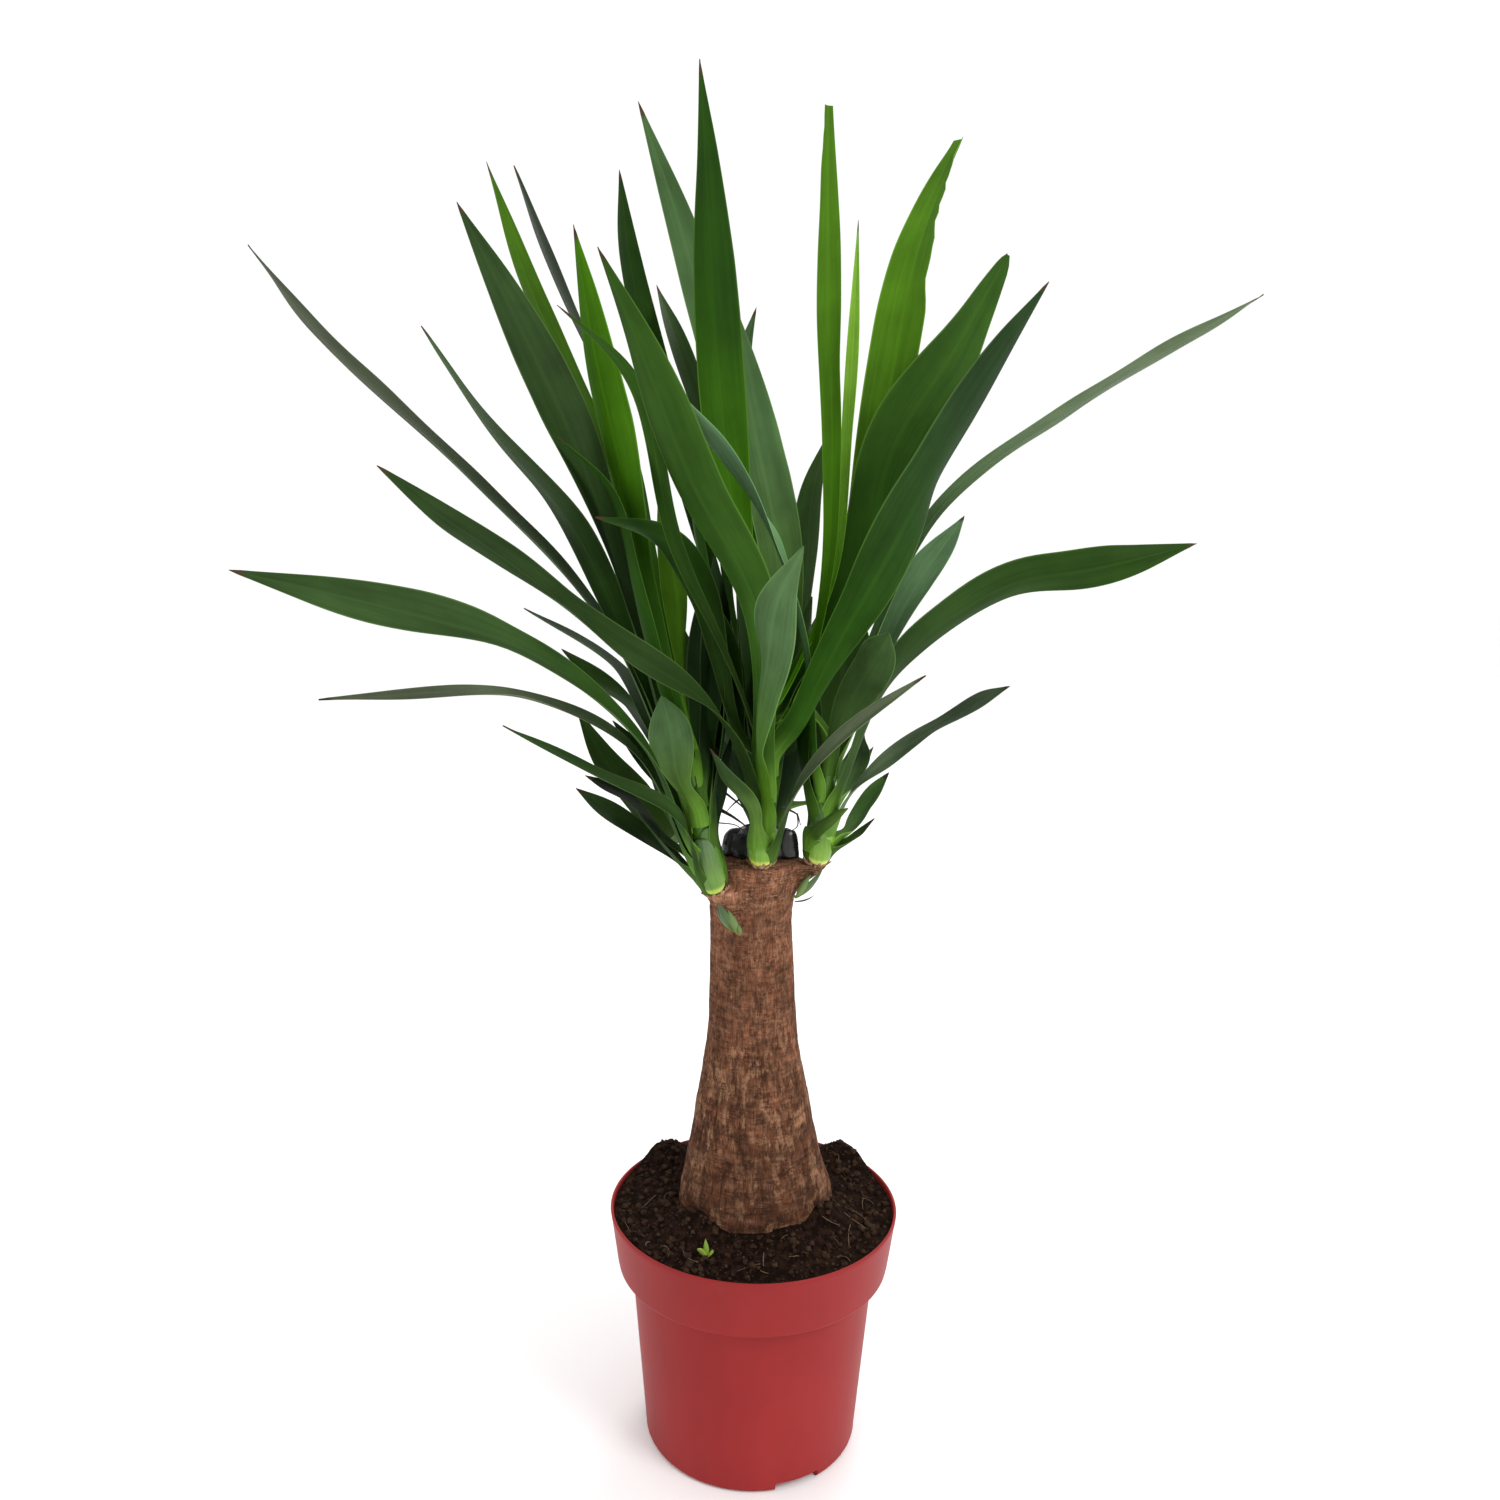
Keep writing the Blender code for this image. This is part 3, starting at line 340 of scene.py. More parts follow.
# ------------------------------------------------------------------ materials
class Shader:
    """A material's node tree, built node by node."""

    def __init__(self, name):
        self.mat = bpy.data.materials.new(name)
        self.mat.use_nodes = True
        self.tree = self.mat.node_tree
        self.bsdf = self.tree.nodes["Principled BSDF"]

    def put(self, socket, value):
        if isinstance(value, bpy.types.NodeSocket):
            self.tree.links.new(value, socket)
        elif isinstance(value, (tuple, list)):
            n = len(socket.default_value)
            socket.default_value = tuple(value)[:n] if len(value) >= n else (*value, 1.0)
        else:
            socket.default_value = value

    def node(self, kind, values=None, **props):
        n = self.tree.nodes.new(kind)
        for k, v in props.items():
            setattr(n, k, v)
        for k, v in (values or {}).items():
            self.put(n.inputs[k], v)
        return n

    def math(self, op, a, b=0.0, c=0.0, clamp=False):
        return self.node("ShaderNodeMath", {0: a, 1: b, 2: c}, operation=op, use_clamp=clamp).outputs[0]

    def ramp(self, x, a, b, lo=0.0, hi=1.0):
        n = self.node("ShaderNodeMapRange", {"Value": x, "From Min": a, "From Max": b, "To Min": lo, "To Max": hi},
                      interpolation_type="SMOOTHSTEP")
        return n.outputs[0]

    def line(self, x, a, b, lo=0.0, hi=1.0):
        return self.node("ShaderNodeMapRange", {"Value": x, "From Min": a, "From Max": b, "To Min": lo, "To Max": hi}).outputs[0]

    def mix(self, a, b, f, blend="MIX"):
        n = self.node("ShaderNodeMix", None, data_type="RGBA", blend_type=blend)
        self.put(n.inputs[0], f)
        self.put(n.inputs[6], a)
        self.put(n.inputs[7], b)
        return n.outputs[2]

    def scaled(self, colour, f):
        """The colour times a number."""
        grey = self.node("ShaderNodeCombineColor", {0: f, 1: f, 2: f}).outputs[0]
        return self.mix(colour, grey, 1.0, "MULTIPLY")

    def vector(self, x, y=0.0, z=0.0):
        return self.node("ShaderNodeCombineXYZ", {0: x, 1: y, 2: z}).outputs[0]

    def split(self, v):
        return self.node("ShaderNodeSeparateXYZ", {0: v}).outputs

    def noise(self, v, scale, detail=2.0, rough=0.5, distort=0.0):
        return self.node("ShaderNodeTexNoise", {"Vector": v, "Scale": scale, "Detail": detail, "Roughness": rough,
                                                "Distortion": distort}).outputs["Fac"]

    def voronoi(self, v, scale, feature="F1", randomness=1.0):
        n = self.node("ShaderNodeTexVoronoi", {"Vector": v, "Scale": scale, "Randomness": randomness}, feature=feature)
        return n.outputs

    def bump(self, height, strength, distance, normal=None):
        n = self.node("ShaderNodeBump", {"Height": height, "Strength": strength, "Distance": distance})
        if normal is not None:
            self.put(n.inputs["Normal"], normal)
        return n.outputs[0]

    def uv(self, name):
        return self.node("ShaderNodeUVMap", None, uv_map=name).outputs[0]

    def attribute(self, name):
        return self.node("ShaderNodeAttribute", None, attribute_name=name).outputs["Color"]

    def place(self):
        return self.node("ShaderNodeTexCoord").outputs["Object"]

    def finish(self, **values):
        for k, v in values.items():
            self.put(self.bsdf.inputs[k.replace("_", " ")], v)
        return self.mat


def leaf_material():
    s = Shader("leaf")
    blade = s.split(s.uv("blade"))
    along, across = blade[0], blade[1]
    side = s.math("MULTIPLY", s.math("ABSOLUTE", s.math("SUBTRACT", across, 0.5)), 2.0)
    place = s.place()
    tone = s.attribute("tone")
    number = s.split(s.uv("leaf"))[0]
    coarse = s.noise(s.vector(s.math("MULTIPLY", across, 34.0), s.math("MULTIPLY", along, 2.2), number), 1.0, 2.0)
    fine = s.noise(s.vector(s.math("MULTIPLY", across, 120.0), s.math("MULTIPLY", along, 5.0), number), 1.0, 2.0)
    broad = s.noise(place, 26.0, 3.0, 0.55)
    c = s.scaled(tone, s.line(coarse, 0.3, 0.7, 0.92, 1.09))
    c = s.scaled(c, s.line(fine, 0.3, 0.7, 0.96, 1.04))
    c = s.scaled(c, s.line(broad, 0.25, 0.75, 0.76, 1.26))
    cloud = s.noise(s.vector(s.math("MULTIPLY", across, 3.0), s.math("MULTIPLY", along, 5.0), number), 1.0, 3.0, 0.6)
    c = s.scaled(c, s.line(cloud, 0.3, 0.7, 0.84, 1.16))
    rib = s.ramp(side, 0.03, 0.12, 1.0, 0.0)
    c = s.mix(c, s.scaled(tone, 1.35), s.math("MULTIPLY", rib, 0.5))
    edge = s.ramp(side, 0.935, 0.975)
    c = s.mix(c, s.mix(s.scaled(tone, 2.4), (0.20, 0.27, 0.075, 1), 0.22), s.math("MULTIPLY", edge, 0.60))
    brown = s.split(s.uv("leaf"))[1]
    dry = s.math("ADD", brown, s.line(s.noise(s.vector(s.math("MULTIPLY", across, 9.0), s.math("MULTIPLY", along, 60.0), number), 1.0, 2.0),
                                      0.3, 0.7, -0.25, 0.25))
    dry = s.ramp(dry, 0.50, 0.90)
    c = s.mix(c, (0.062, 0.036, 0.022, 1), dry)
    rough = s.math("ADD", s.line(broad, 0.25, 0.75, 0.52, 0.64), s.math("MULTIPLY", dry, 0.3))
    lift = s.math("ADD", s.math("MULTIPLY", coarse, 0.7), s.math("MULTIPLY", fine, 0.5))
    return s.finish(Base_Color=c, Roughness=rough, Normal=s.bump(lift, 0.12, 0.0003), Specular_IOR_Level=0.04)


def pot_material():
    s = Shader("pot_plastic")
    place = s.place()
    p = s.split(place)
    broad = s.noise(place, 9.0, 3.0, 0.6)
    grain = s.noise(place, 900.0, 2.0, 0.6)
    streak = s.noise(s.vector(s.math("MULTIPLY", p[0], 60.0), s.math("MULTIPLY", p[1], 60.0), s.math("MULTIPLY", p[2], 6.0)), 1.0, 3.0)
    c = s.mix((0.252, 0.0205, 0.0205, 1), (0.305, 0.0255, 0.0255, 1), s.line(broad, 0.3, 0.7))
    c = s.scaled(c, s.line(streak, 0.3, 0.7, 0.965, 1.035))
    dust = s.math("MULTIPLY", s.ramp(s.noise(place, 42.0, 4.0, 0.7), 0.55, 0.78), s.ramp(p[2], 0.10, 0.147, 0.10, 0.35))
    c = s.mix(c, (0.20, 0.10, 0.075, 1), s.math("MULTIPLY", dust, 0.35))
    rough = s.line(broad, 0.25, 0.75, 0.40, 0.50)
    return s.finish(Base_Color=c, Roughness=rough, Normal=s.bump(s.math("ADD", s.math("MULTIPLY", grain, 0.35), streak), 0.10, 0.0004),
                    Specular_IOR_Level=0.09)


def bark_material():
    s = Shader("bark")
    plates = s.node("ShaderNodeSeparateColor", {0: s.attribute("plates")}).outputs
    crack, value, low = plates[0], plates[1], plates[2]
    mm = s.split(s.uv("mm"))

    def grain(across, along, seed, detail=3.0, rough=0.55):
        return s.noise(s.vector(s.math("MULTIPLY", mm[0], across), s.math("MULTIPLY", mm[1], along), seed), 1.0, detail, rough)

    def thin(n, width):
        """Narrow lines where the noise crosses its middle."""
        return s.ramp(s.math("ABSOLUTE", s.math("SUBTRACT", n, 0.5)), 0.0, width, 1.0, 0.0)

    fibre = grain(1.5, 0.13, 0.0, 4.0, 0.62)
    flake = grain(0.30, 0.20, 3.0, 5.0, 0.70)
    blotch = grain(0.10, 0.09, 7.0, 3.0)
    wide = grain(0.035, 0.03, 13.0, 2.0)
    level = s.math("MULTIPLY", thin(grain(0.11, 0.55, 21.0, 2.0), 0.030), s.ramp(grain(0.10, 0.10, 31.0), 0.46, 0.60))
    fissure = s.math("MULTIPLY", thin(grain(0.42, 0.050, 41.0, 2.0), 0.034), s.ramp(grain(0.16, 0.07, 51.0), 0.44, 0.58))
    c = s.mix((0.118, 0.049, 0.027, 1), (0.300, 0.143, 0.082, 1), s.ramp(flake, 0.33, 0.66))
    c = s.mix(c, (0.210, 0.078, 0.040, 1), s.math("MULTIPLY", s.ramp(blotch, 0.44, 0.60), 0.62))
    large = grain(0.085, 0.060, 17.0, 4.0, 0.6)
    c = s.scaled(c, s.line(large, 0.34, 0.66, 0.72, 1.30))
    # the plate value also carries painted light: lighter plates and more tan patches low on the cane's side towards the
    # key lamp
    patch = s.math("MULTIPLY", s.ramp(value, 0.66, 0.86), s.ramp(flake, 0.38, 0.55))
    c = s.mix(c, (0.400, 0.215, 0.120, 1), s.math("MULTIPLY", patch, s.line(low, 0.0, 1.0, 0.25, 0.72)))
    c = s.scaled(c, s.line(value, 0.0, 1.0, 0.86, 1.10))
    c = s.scaled(c, s.line(fibre, 0.28, 0.72, 0.60, 1.42))
    c = s.scaled(c, s.line(wide, 0.32, 0.68, 0.74, 1.20))
    # painted shade: the bark darkens towards the bottom of the cane
    c = s.scaled(c, s.line(s.split(s.place())[2], 0.345, 0.165, 1.02, 0.53))
    bands = grain(0.05, 0.30, 71.0, 4.0, 0.65)
    c = s.scaled(c, s.line(bands, 0.32, 0.68, 0.58, 1.42))
    pits = s.ramp(grain(0.42, 0.50, 81.0, 3.0, 0.6), 0.60, 0.70)
    c = s.mix(c, (0.040, 0.018, 0.011, 1), s.math("MULTIPLY", pits, 0.32))
    c = s.mix(c, (0.046, 0.021, 0.013, 1), s.math("MULTIPLY", crack, 0.62))
    c = s.mix(c, (0.045, 0.020, 0.012, 1), s.math("MULTIPLY", level, 0.75))
    c = s.mix(c, (0.050, 0.023, 0.014, 1), s.math("MULTIPLY", fissure, s.line(low, 0.0, 1.0, 0.35, 0.80)))
    fleck = s.ramp(grain(0.75, 0.60, 61.0, 2.0), 0.66, 0.74)
    c = s.mix(c, (0.420, 0.250, 0.150, 1), s.math("MULTIPLY", fleck, 0.42))
    torn = s.math("MULTIPLY", thin(grain(0.055, 0.40, 91.0, 3.0), 0.022), s.ramp(s.split(s.place())[2], 0.326, 0.344))
    c = s.mix(c, (0.52, 0.33, 0.20, 1), s.math("MULTIPLY", torn, s.math("MULTIPLY", s.ramp(grain(0.12, 0.20, 93.0), 0.42, 0.55), 0.65)))
    rough = s.line(flake, 0.3, 0.7, 0.74, 0.9)
    lift = s.math("ADD", s.math("MULTIPLY", fibre, 0.8), s.math("MULTIPLY", flake, 0.9))
    lift = s.math("SUBTRACT", lift, s.math("MULTIPLY", s.math("ADD", level, fissure), 0.5))
    return s.finish(Base_Color=c, Roughness=rough, Normal=s.bump(lift, 0.8, 0.0012), Specular_IOR_Level=0.04)


def soil_material():
    s = Shader("peat")
    place = s.place()
    clod = s.noise(place, 210.0, 4.0, 0.65)
    fine = s.noise(place, 900.0, 3.0, 0.7)
    c = s.mix((0.0080, 0.0042, 0.0028, 1), (0.026, 0.0125, 0.0085, 1), s.ramp(clod, 0.42, 0.66))
    c = s.mix(c, (0.070, 0.038, 0.024, 1), s.math("MULTIPLY", s.ramp(fine, 0.62, 0.76), 0.7))
    c = s.mix(c, (0.36, 0.32, 0.25, 1), s.math("MULTIPLY", s.ramp(s.noise(place, 1300.0, 1.0), 0.765, 0.81), 0.55))
    lift = s.math("ADD", clod, s.math("MULTIPLY", fine, 0.7))
    return s.finish(Base_Color=c, Roughness=0.93, Normal=s.bump(lift, 0.9, 0.0016), Specular_IOR_Level=0.03)


def simple_material(name, low, high, scale, rough=(0.5, 0.7), bump=(0.3, 0.0005), spec=0.3, detail=4.0):
    s = Shader(name)
    place = s.place()
    n = s.noise(place, scale, detail, 0.6)
    c = s.mix((*low, 1), (*high, 1), s.line(n, 0.3, 0.7))
    return s.finish(Base_Color=c, Roughness=s.line(n, 0.3, 0.7, *rough), Normal=s.bump(n, *bump), Specular_IOR_Level=spec)


def wax_material():
    s = Shader("sealing_wax")
    place = s.place()
    n = s.noise(place, 120.0, 4.0, 0.6)
    c = s.mix((0.006, 0.006, 0.007, 1), (0.022, 0.021, 0.022, 1), s.line(n, 0.35, 0.75))
    c = s.mix(c, (0.13, 0.10, 0.085, 1), s.math("MULTIPLY", s.ramp(s.noise(place, 330.0, 3.0), 0.64, 0.76), 0.5))
    return s.finish(Base_Color=c, Roughness=s.line(n, 0.3, 0.7, 0.20, 0.42), Normal=s.bump(n, 0.5, 0.0012))


def stem_material():
    s = Shader("young_stem")
    mm = s.split(s.uv("blade"))
    tone = s.attribute("tone")
    place = s.place()
    stripes = s.noise(s.vector(s.math("MULTIPLY", mm[1], 42.0), s.math("MULTIPLY", mm[0], 2.0), 0.0), 1.0, 2.0)
    broad = s.noise(place, 90.0, 3.0)
    c = s.scaled(tone, s.line(stripes, 0.3, 0.7, 0.84, 1.16))
    c = s.scaled(c, s.line(broad, 0.3, 0.7, 0.88, 1.12))
    return s.finish(Base_Color=c, Roughness=s.line(broad, 0.3, 0.7, 0.32, 0.46), Normal=s.bump(stripes, 0.25, 0.0004),
                    Specular_IOR_Level=0.5)


LEAF = leaf_material()
POT = pot_material()
BARK = bark_material()
PEAT = soil_material()
WAX = wax_material()
STEM = stem_material()
FIBRE = simple_material("fibre", (0.060, 0.036, 0.020), (0.17, 0.115, 0.066), 300.0, (0.75, 0.9))
CRUMB = simple_material("crumb", (0.0070, 0.0038, 0.0026), (0.060, 0.034, 0.021), 260.0, (0.85, 0.95), (0.8, 0.001), 0.03)
DRY = simple_material("dry_leaf", (0.020, 0.024, 0.016), (0.060, 0.060, 0.040), 260.0, (0.65, 0.85))


# ------------------------------------------------------------------ pot
def turned(name, profile, steps):
    me = bpy.data.meshes.new(name)
    me.from_pydata([(r * MM, 0.0, z * MM) for r, z in profile], [(i, i + 1) for i in range(len(profile) - 1)], [])
    o = bpy.data.objects.new(name, me)
    bpy.context.scene.collection.objects.link(o)
    m = o.modifiers.new("Turn", "SCREW")
    m.axis, m.angle, m.steps, m.render_steps = "Z", math.tau, steps, steps
    m.use_merge_vertices, m.merge_threshold = True, 1e-5
    return o


def sector(name, r0, r1, mid, half, z0, z1, steps=16, corner=1.2):
    """Prism over a sector of a ring with eased upper edges, the form of a drainage pocket."""
    bm = bmesh.new()
    rings = []
    for z, inset in ((z0, 0.0), (z1 - corner, 0.0), (z1 - corner * 0.3, corner * 0.3), (z1, corner)):
        ring = []
        for r, order in ((r1, 1), (r0 + inset, -1)):
            h = half - math.degrees(inset / r)
            for i in range(steps + 1):
                t = math.radians(mid + order * (-h + 2 * h * i / steps))
                ring.append(bm.verts.new((r * math.cos(t) * MM, r * math.sin(t) * MM, z * MM)))
        rings.append(ring)
    n = len(rings[0])
    for a, b in zip(rings, rings[1:]):
        for i in range(n):
            bm.faces.new((a[i], a[(i + 1) % n], b[(i + 1) % n], b[i]))
    bm.faces.new(rings[0])
    bm.faces.new(rings[-1])
    bmesh.ops.recalc_face_normals(bm, faces=bm.faces)
    me = bpy.data.meshes.new(name)
    bm.to_mesh(me)
    bm.free()
    o = bpy.data.objects.new(name, me)
    bpy.context.scene.collection.objects.link(o)
    return o


def arc(cx, cz, r, a0, a1, n):
    return [(cx + r * math.cos(math.radians(a0 + (a1 - a0) * i / n)), cz + r * math.sin(math.radians(a0 + (a1 - a0) * i / n)))
            for i in range(n + 1)]


def make_pot():
    slope = (RIM_R - COLLAR_BOTTOM_R) / (POT_H - COLLAR_BOTTOM_Z)
    step_in = RIM_R - WALL - slope * (POT_H - COLLAR_BOTTOM_Z - 2.4)
    inside = [(0, FLOOR), (POCKET_INNER_R - 3, FLOOR), (FOOT_R - WALL - 1.6, FLOOR)]
    inside += arc(FOOT_R - WALL - 1.6, FLOOR + 1.8, 1.8, -75, 0, 4)
    inside += [(BODY_TOP_R - WALL, COLLAR_BOTTOM_Z - 2.6), (BODY_TOP_R - WALL + .4, COLLAR_BOTTOM_Z - .2),
               (BODY_TOP_R - WALL + 1.6, COLLAR_BOTTOM_Z + 1.2), (BODY_TOP_R - WALL + 3.0, COLLAR_BOTTOM_Z + 1.8),
               (step_in - 2.0, COLLAR_BOTTOM_Z + 2.0), (step_in - .6, COLLAR_BOTTOM_Z + 2.5), (step_in, COLLAR_BOTTOM_Z + 3.6)]
    lip = arc(RIM_R - WALL / 2, POT_H - WALL / 2, WALL / 2, 180, 0, 10)
    outside = [(RIM_R - .35, POT_H - 3.4), (RIM_R - .55, POT_H - 4.0)]
    outside += [(COLLAR_BOTTOM_R + .9, COLLAR_BOTTOM_Z + 5.2), (COLLAR_BOTTOM_R + .35, COLLAR_BOTTOM_Z + 2.8)]
    outside += arc(COLLAR_BOTTOM_R - 2.3, COLLAR_BOTTOM_Z + 2.4, 2.6, 0, -82, 7)
    outside += [(BODY_TOP_R + 3.4, COLLAR_BOTTOM_Z - .35), (BODY_TOP_R + 1.7, COLLAR_BOTTOM_Z - .8),
                (BODY_TOP_R + .6, COLLAR_BOTTOM_Z - 1.8), (BODY_TOP_R + .1, COLLAR_BOTTOM_Z - 3.4),
                (BODY_TOP_R - .3, COLLAR_BOTTOM_Z - 7.0)]
    outside += [(FOOT_R + (BODY_TOP_R - .3 - FOOT_R) * t, 5.0 + (COLLAR_BOTTOM_Z - 12.0) * t) for t in (.8, .6, .4, .2)]
    outside += [(FOOT_R, 5.0)] + arc(FOOT_R - 3.4, 3.4, 3.35, 8, -86, 7) + [(FOOT_R - 5.0, 0), (30, 0), (0, 0)]
    pot = turned("pot_shell", inside + lip + outside, 160)
    cut = []
    for k, az in enumerate(POCKET_AZIMUTHS):
        b = sector(f"tmp_block_{k}", POCKET_INNER_R - WALL, FOOT_R - 1.3, az, POCKET_HALF_ANGLE + 1.8, 1.0, POCKET_H + POCKET_ROOF)
        cut.append((b, "UNION"))
    for k, az in enumerate(POCKET_AZIMUTHS):
        b = sector(f"tmp_pocket_{k}", POCKET_INNER_R, FOOT_R + 8, az, POCKET_HALF_ANGLE, -2, POCKET_H)
        cut.append((b, "DIFFERENCE"))
        bm = bmesh.new()
        bmesh.ops.create_cone(bm, cap_ends=True, segments=28, radius1=DRAIN_R * MM, radius2=DRAIN_R * MM, depth=8 * MM)
        t = math.radians(az)
        r = POCKET_INNER_R + 5.0
        bmesh.ops.translate(bm, vec=(r * math.cos(t) * MM, r * math.sin(t) * MM, (POCKET_H + 1) * MM), verts=bm.verts)
        me = bpy.data.meshes.new("tmp_drain")
        bm.to_mesh(me)
        bm.free()
        h = bpy.data.objects.new(f"tmp_drain_{k}", me)
        bpy.context.scene.collection.objects.link(h)
        cut.append((h, "DIFFERENCE"))
    for o, op in cut:
        m = pot.modifiers.new(o.name, "BOOLEAN")
        m.operation, m.object, m.solver = op, o, "EXACT"
    bpy.context.view_layer.update()
    me = bpy.data.meshes.new_from_object(pot.evaluated_get(bpy.context.evaluated_depsgraph_get()))
    pot.modifiers.clear()
    pot.data = me
    for o, op in cut:
        bpy.data.objects.remove(o, do_unlink=True)
    me.name = "pot_shell"
    me.shade_smooth()
    me.set_sharp_from_angle(angle=math.radians(38))
    me.materials.clear()
    me.materials.append(POT)
    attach(pot, "root")
    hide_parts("pot")
    return pot


def pot_inside(z):
    slope = (RIM_R - COLLAR_BOTTOM_R) / (POT_H - COLLAR_BOTTOM_Z)
    return RIM_R - WALL - slope * (POT_H - z)


# ------------------------------------------------------------------ soil
def soil_height(x, y):
    r = np.hypot(x, y)
    z = 143.4 + 7.5 * smooth01(-r, -74, -42)
    for cx, cy, rad, up in ((-53, 50, 15, 14.0), (53, 52, 15, 13.0), (66, 44, 13, 4.0), (-70, 20, 16, 1.2), (20, -62, 20, 1.4),
                            (42, -26, 12, 9.5), (-35, -33, 11, 7.5), (24, -47, 10, 3.0),
                            (-48, -40, 14, 1.6), (60, -28, 15, 1.0)):
        z = z + up * np.exp(-((x - cx) ** 2 + (y - cy) ** 2) / rad ** 2)
    z = z + 1.6 * layered(x / 13, y / 13, 0 * x, 3, 3) * smooth01(-r, -84, -74)
    z = z + 1.1 * np.abs(layered(x / 4.6, y / 4.6, 0 * x + 2, 3, 11)) + 0.45 * layered(x / 1.7, y / 1.7, 0 * x + 5, 2, 23)
    return z


def make_soil():
    radii = np.concatenate([[36], np.linspace(39, 83.0, 104)])
    around = 420
    t = np.arange(around) * math.tau / around
    top = []
    for r in radii:
        rr = np.full(around, min(r, pot_inside(143.0) - 0.25))
        x, y = rr * np.cos(t), rr * np.sin(t)
        top.append(np.stack([x, y, soil_height(x, y)], axis=1))
    rim = top[-1].copy()
    k = pot_inside(116) / np.hypot(rim[:, 0], rim[:, 1])
    low = np.stack([rim[:, 0] * (k - 0.004), rim[:, 1] * (k - 0.004), np.full(around, 116.0)], axis=1)
    foot = low.copy()
    foot[:, :2] *= 36 / np.hypot(low[:, 0], low[:, 1])[:, None]
    rows = top + [low, foot]
    verts = np.concatenate(rows)
    faces = grid_faces(len(rows), around, close=True)
    last = (len(rows) - 1) * around
    faces += [(j, last + j, last + (j + 1) % around, (j + 1) % around) for j in range(around)]
    return mesh_piece("soil_surface", verts, [f[::-1] for f in faces], PEAT, "soil")


def lump(radius, squash, rng, rings=5, around=8):
    """A small uneven clod: points and faces round the origin."""
    verts, faces = [(0, 0, -radius * squash)], []
    for i in range(1, rings):
        a = -math.pi / 2 + math.pi * i / rings
        for j in range(around):
            b = math.tau * j / around
            k = radius * (1 + rng.uniform(-0.28, 0.28))
            verts.append((k * math.cos(a) * math.cos(b), k * math.cos(a) * math.sin(b), k * math.sin(a) * squash))
    verts.append((0, 0, radius * squash))
    n = len(verts) - 1
    for j in range(around):
        faces.append((0, 1 + (j + 1) % around, 1 + j))
        faces.append((n, n - around + j, n - around + (j + 1) % around))
    for i in range(rings - 2):
        for j in range(around):
            a = 1 + i * around
            faces.append((a + j, a + (j + 1) % around, a + around + (j + 1) % around, a + around + j))
    return np.array(verts), faces


def tube(points, radii, sides=6, cap=True):
    """A round tube along points (mm), its ends closed."""
    p = np.asarray(points, float)
    radii = np.broadcast_to(np.asarray(radii, float), (len(p),))
    d = np.gradient(p, axis=0)
    d /= np.linalg.norm(d, axis=1)[:, None]
    ref = np.array([0.0, 0.0, 1.0]) if abs(d[0][2]) < 0.9 else np.array([1.0, 0.0, 0.0])
    verts = []
    for q, t, r in zip(p, d, radii):
        ref = unit(ref - (ref @ t) * t)
        other = np.cross(t, ref)
        verts += [q + r * (ref * math.cos(math.tau * j / sides) + other * math.sin(math.tau * j / sides)) for j in range(sides)]
    faces = grid_faces(len(p), sides, close=True)
    if cap:
        faces.append(tuple(range(sides))[::-1])
        faces.append(tuple((len(p) - 1) * sides + j for j in range(sides)))
    return np.array(verts), faces


def gather(parts):
    verts, faces, n = [], [], 0
    for v, f in parts:
        verts.append(v)
        faces += [tuple(i + n for i in q) for q in f]
        n += len(v)
    return np.concatenate(verts), faces


def make_soil_litter():
    rng = np.random.default_rng(41)
    crumbs, fibres = [], []
    for _ in range(1150):
        r, t = math.sqrt(rng.uniform(45 ** 2, 80.5 ** 2)), rng.uniform(0, math.tau)
        x, y = r * math.cos(t), r * math.sin(t)
        size = 0.55 + 2.0 * rng.uniform() ** 3.2
        if r + size > 81.5:
            continue
        v, f = lump(size, rng.uniform(0.6, 0.95), rng)
        z = float(soil_height(np.array([x]), np.array([y]))[0])
        crumbs.append((v + (x, y, z + size * 0.15), f))
    for _ in range(26):
        r, t = math.sqrt(rng.uniform(46 ** 2, 79 ** 2)), rng.uniform(0, math.tau)
        x, y = r * math.cos(t), r * math.sin(t)
        turn, length, bend = rng.uniform(0, math.tau), rng.uniform(4, 15), rng.uniform(-0.12, 0.12)
        pts = []
        for i in range(7):
            if math.hypot(x, y) > 81.2 or math.hypot(x, y) < 44:
                break
            z = float(soil_height(np.array([x]), np.array([y]))[0])
            pts.append((x, y, z + 0.45 + (0.5 if 0 < i < 6 else 0.0)))
            x, y = x + length / 6 * math.cos(turn), y + length / 6 * math.sin(turn)
            turn += bend * 3
        if len(pts) > 3:
            fibres.append(tube(rounded(np.array(pts)), rng.uniform(0.14, 0.34), 5))
    v, f = gather(crumbs)
    mesh_piece("soil_crumbs", v, f, CRUMB, None)
    v, f = gather(fibres)
    mesh_piece("soil_fibres", v, f, FIBRE, None)


# ------------------------------------------------------------------ cane
def cane_at(z):
    zs = [a for a, b, c in CANE]
    return np.interp(z, zs, [b for a, b, c in CANE]), np.interp(z, zs, [c for a, b, c in CANE])


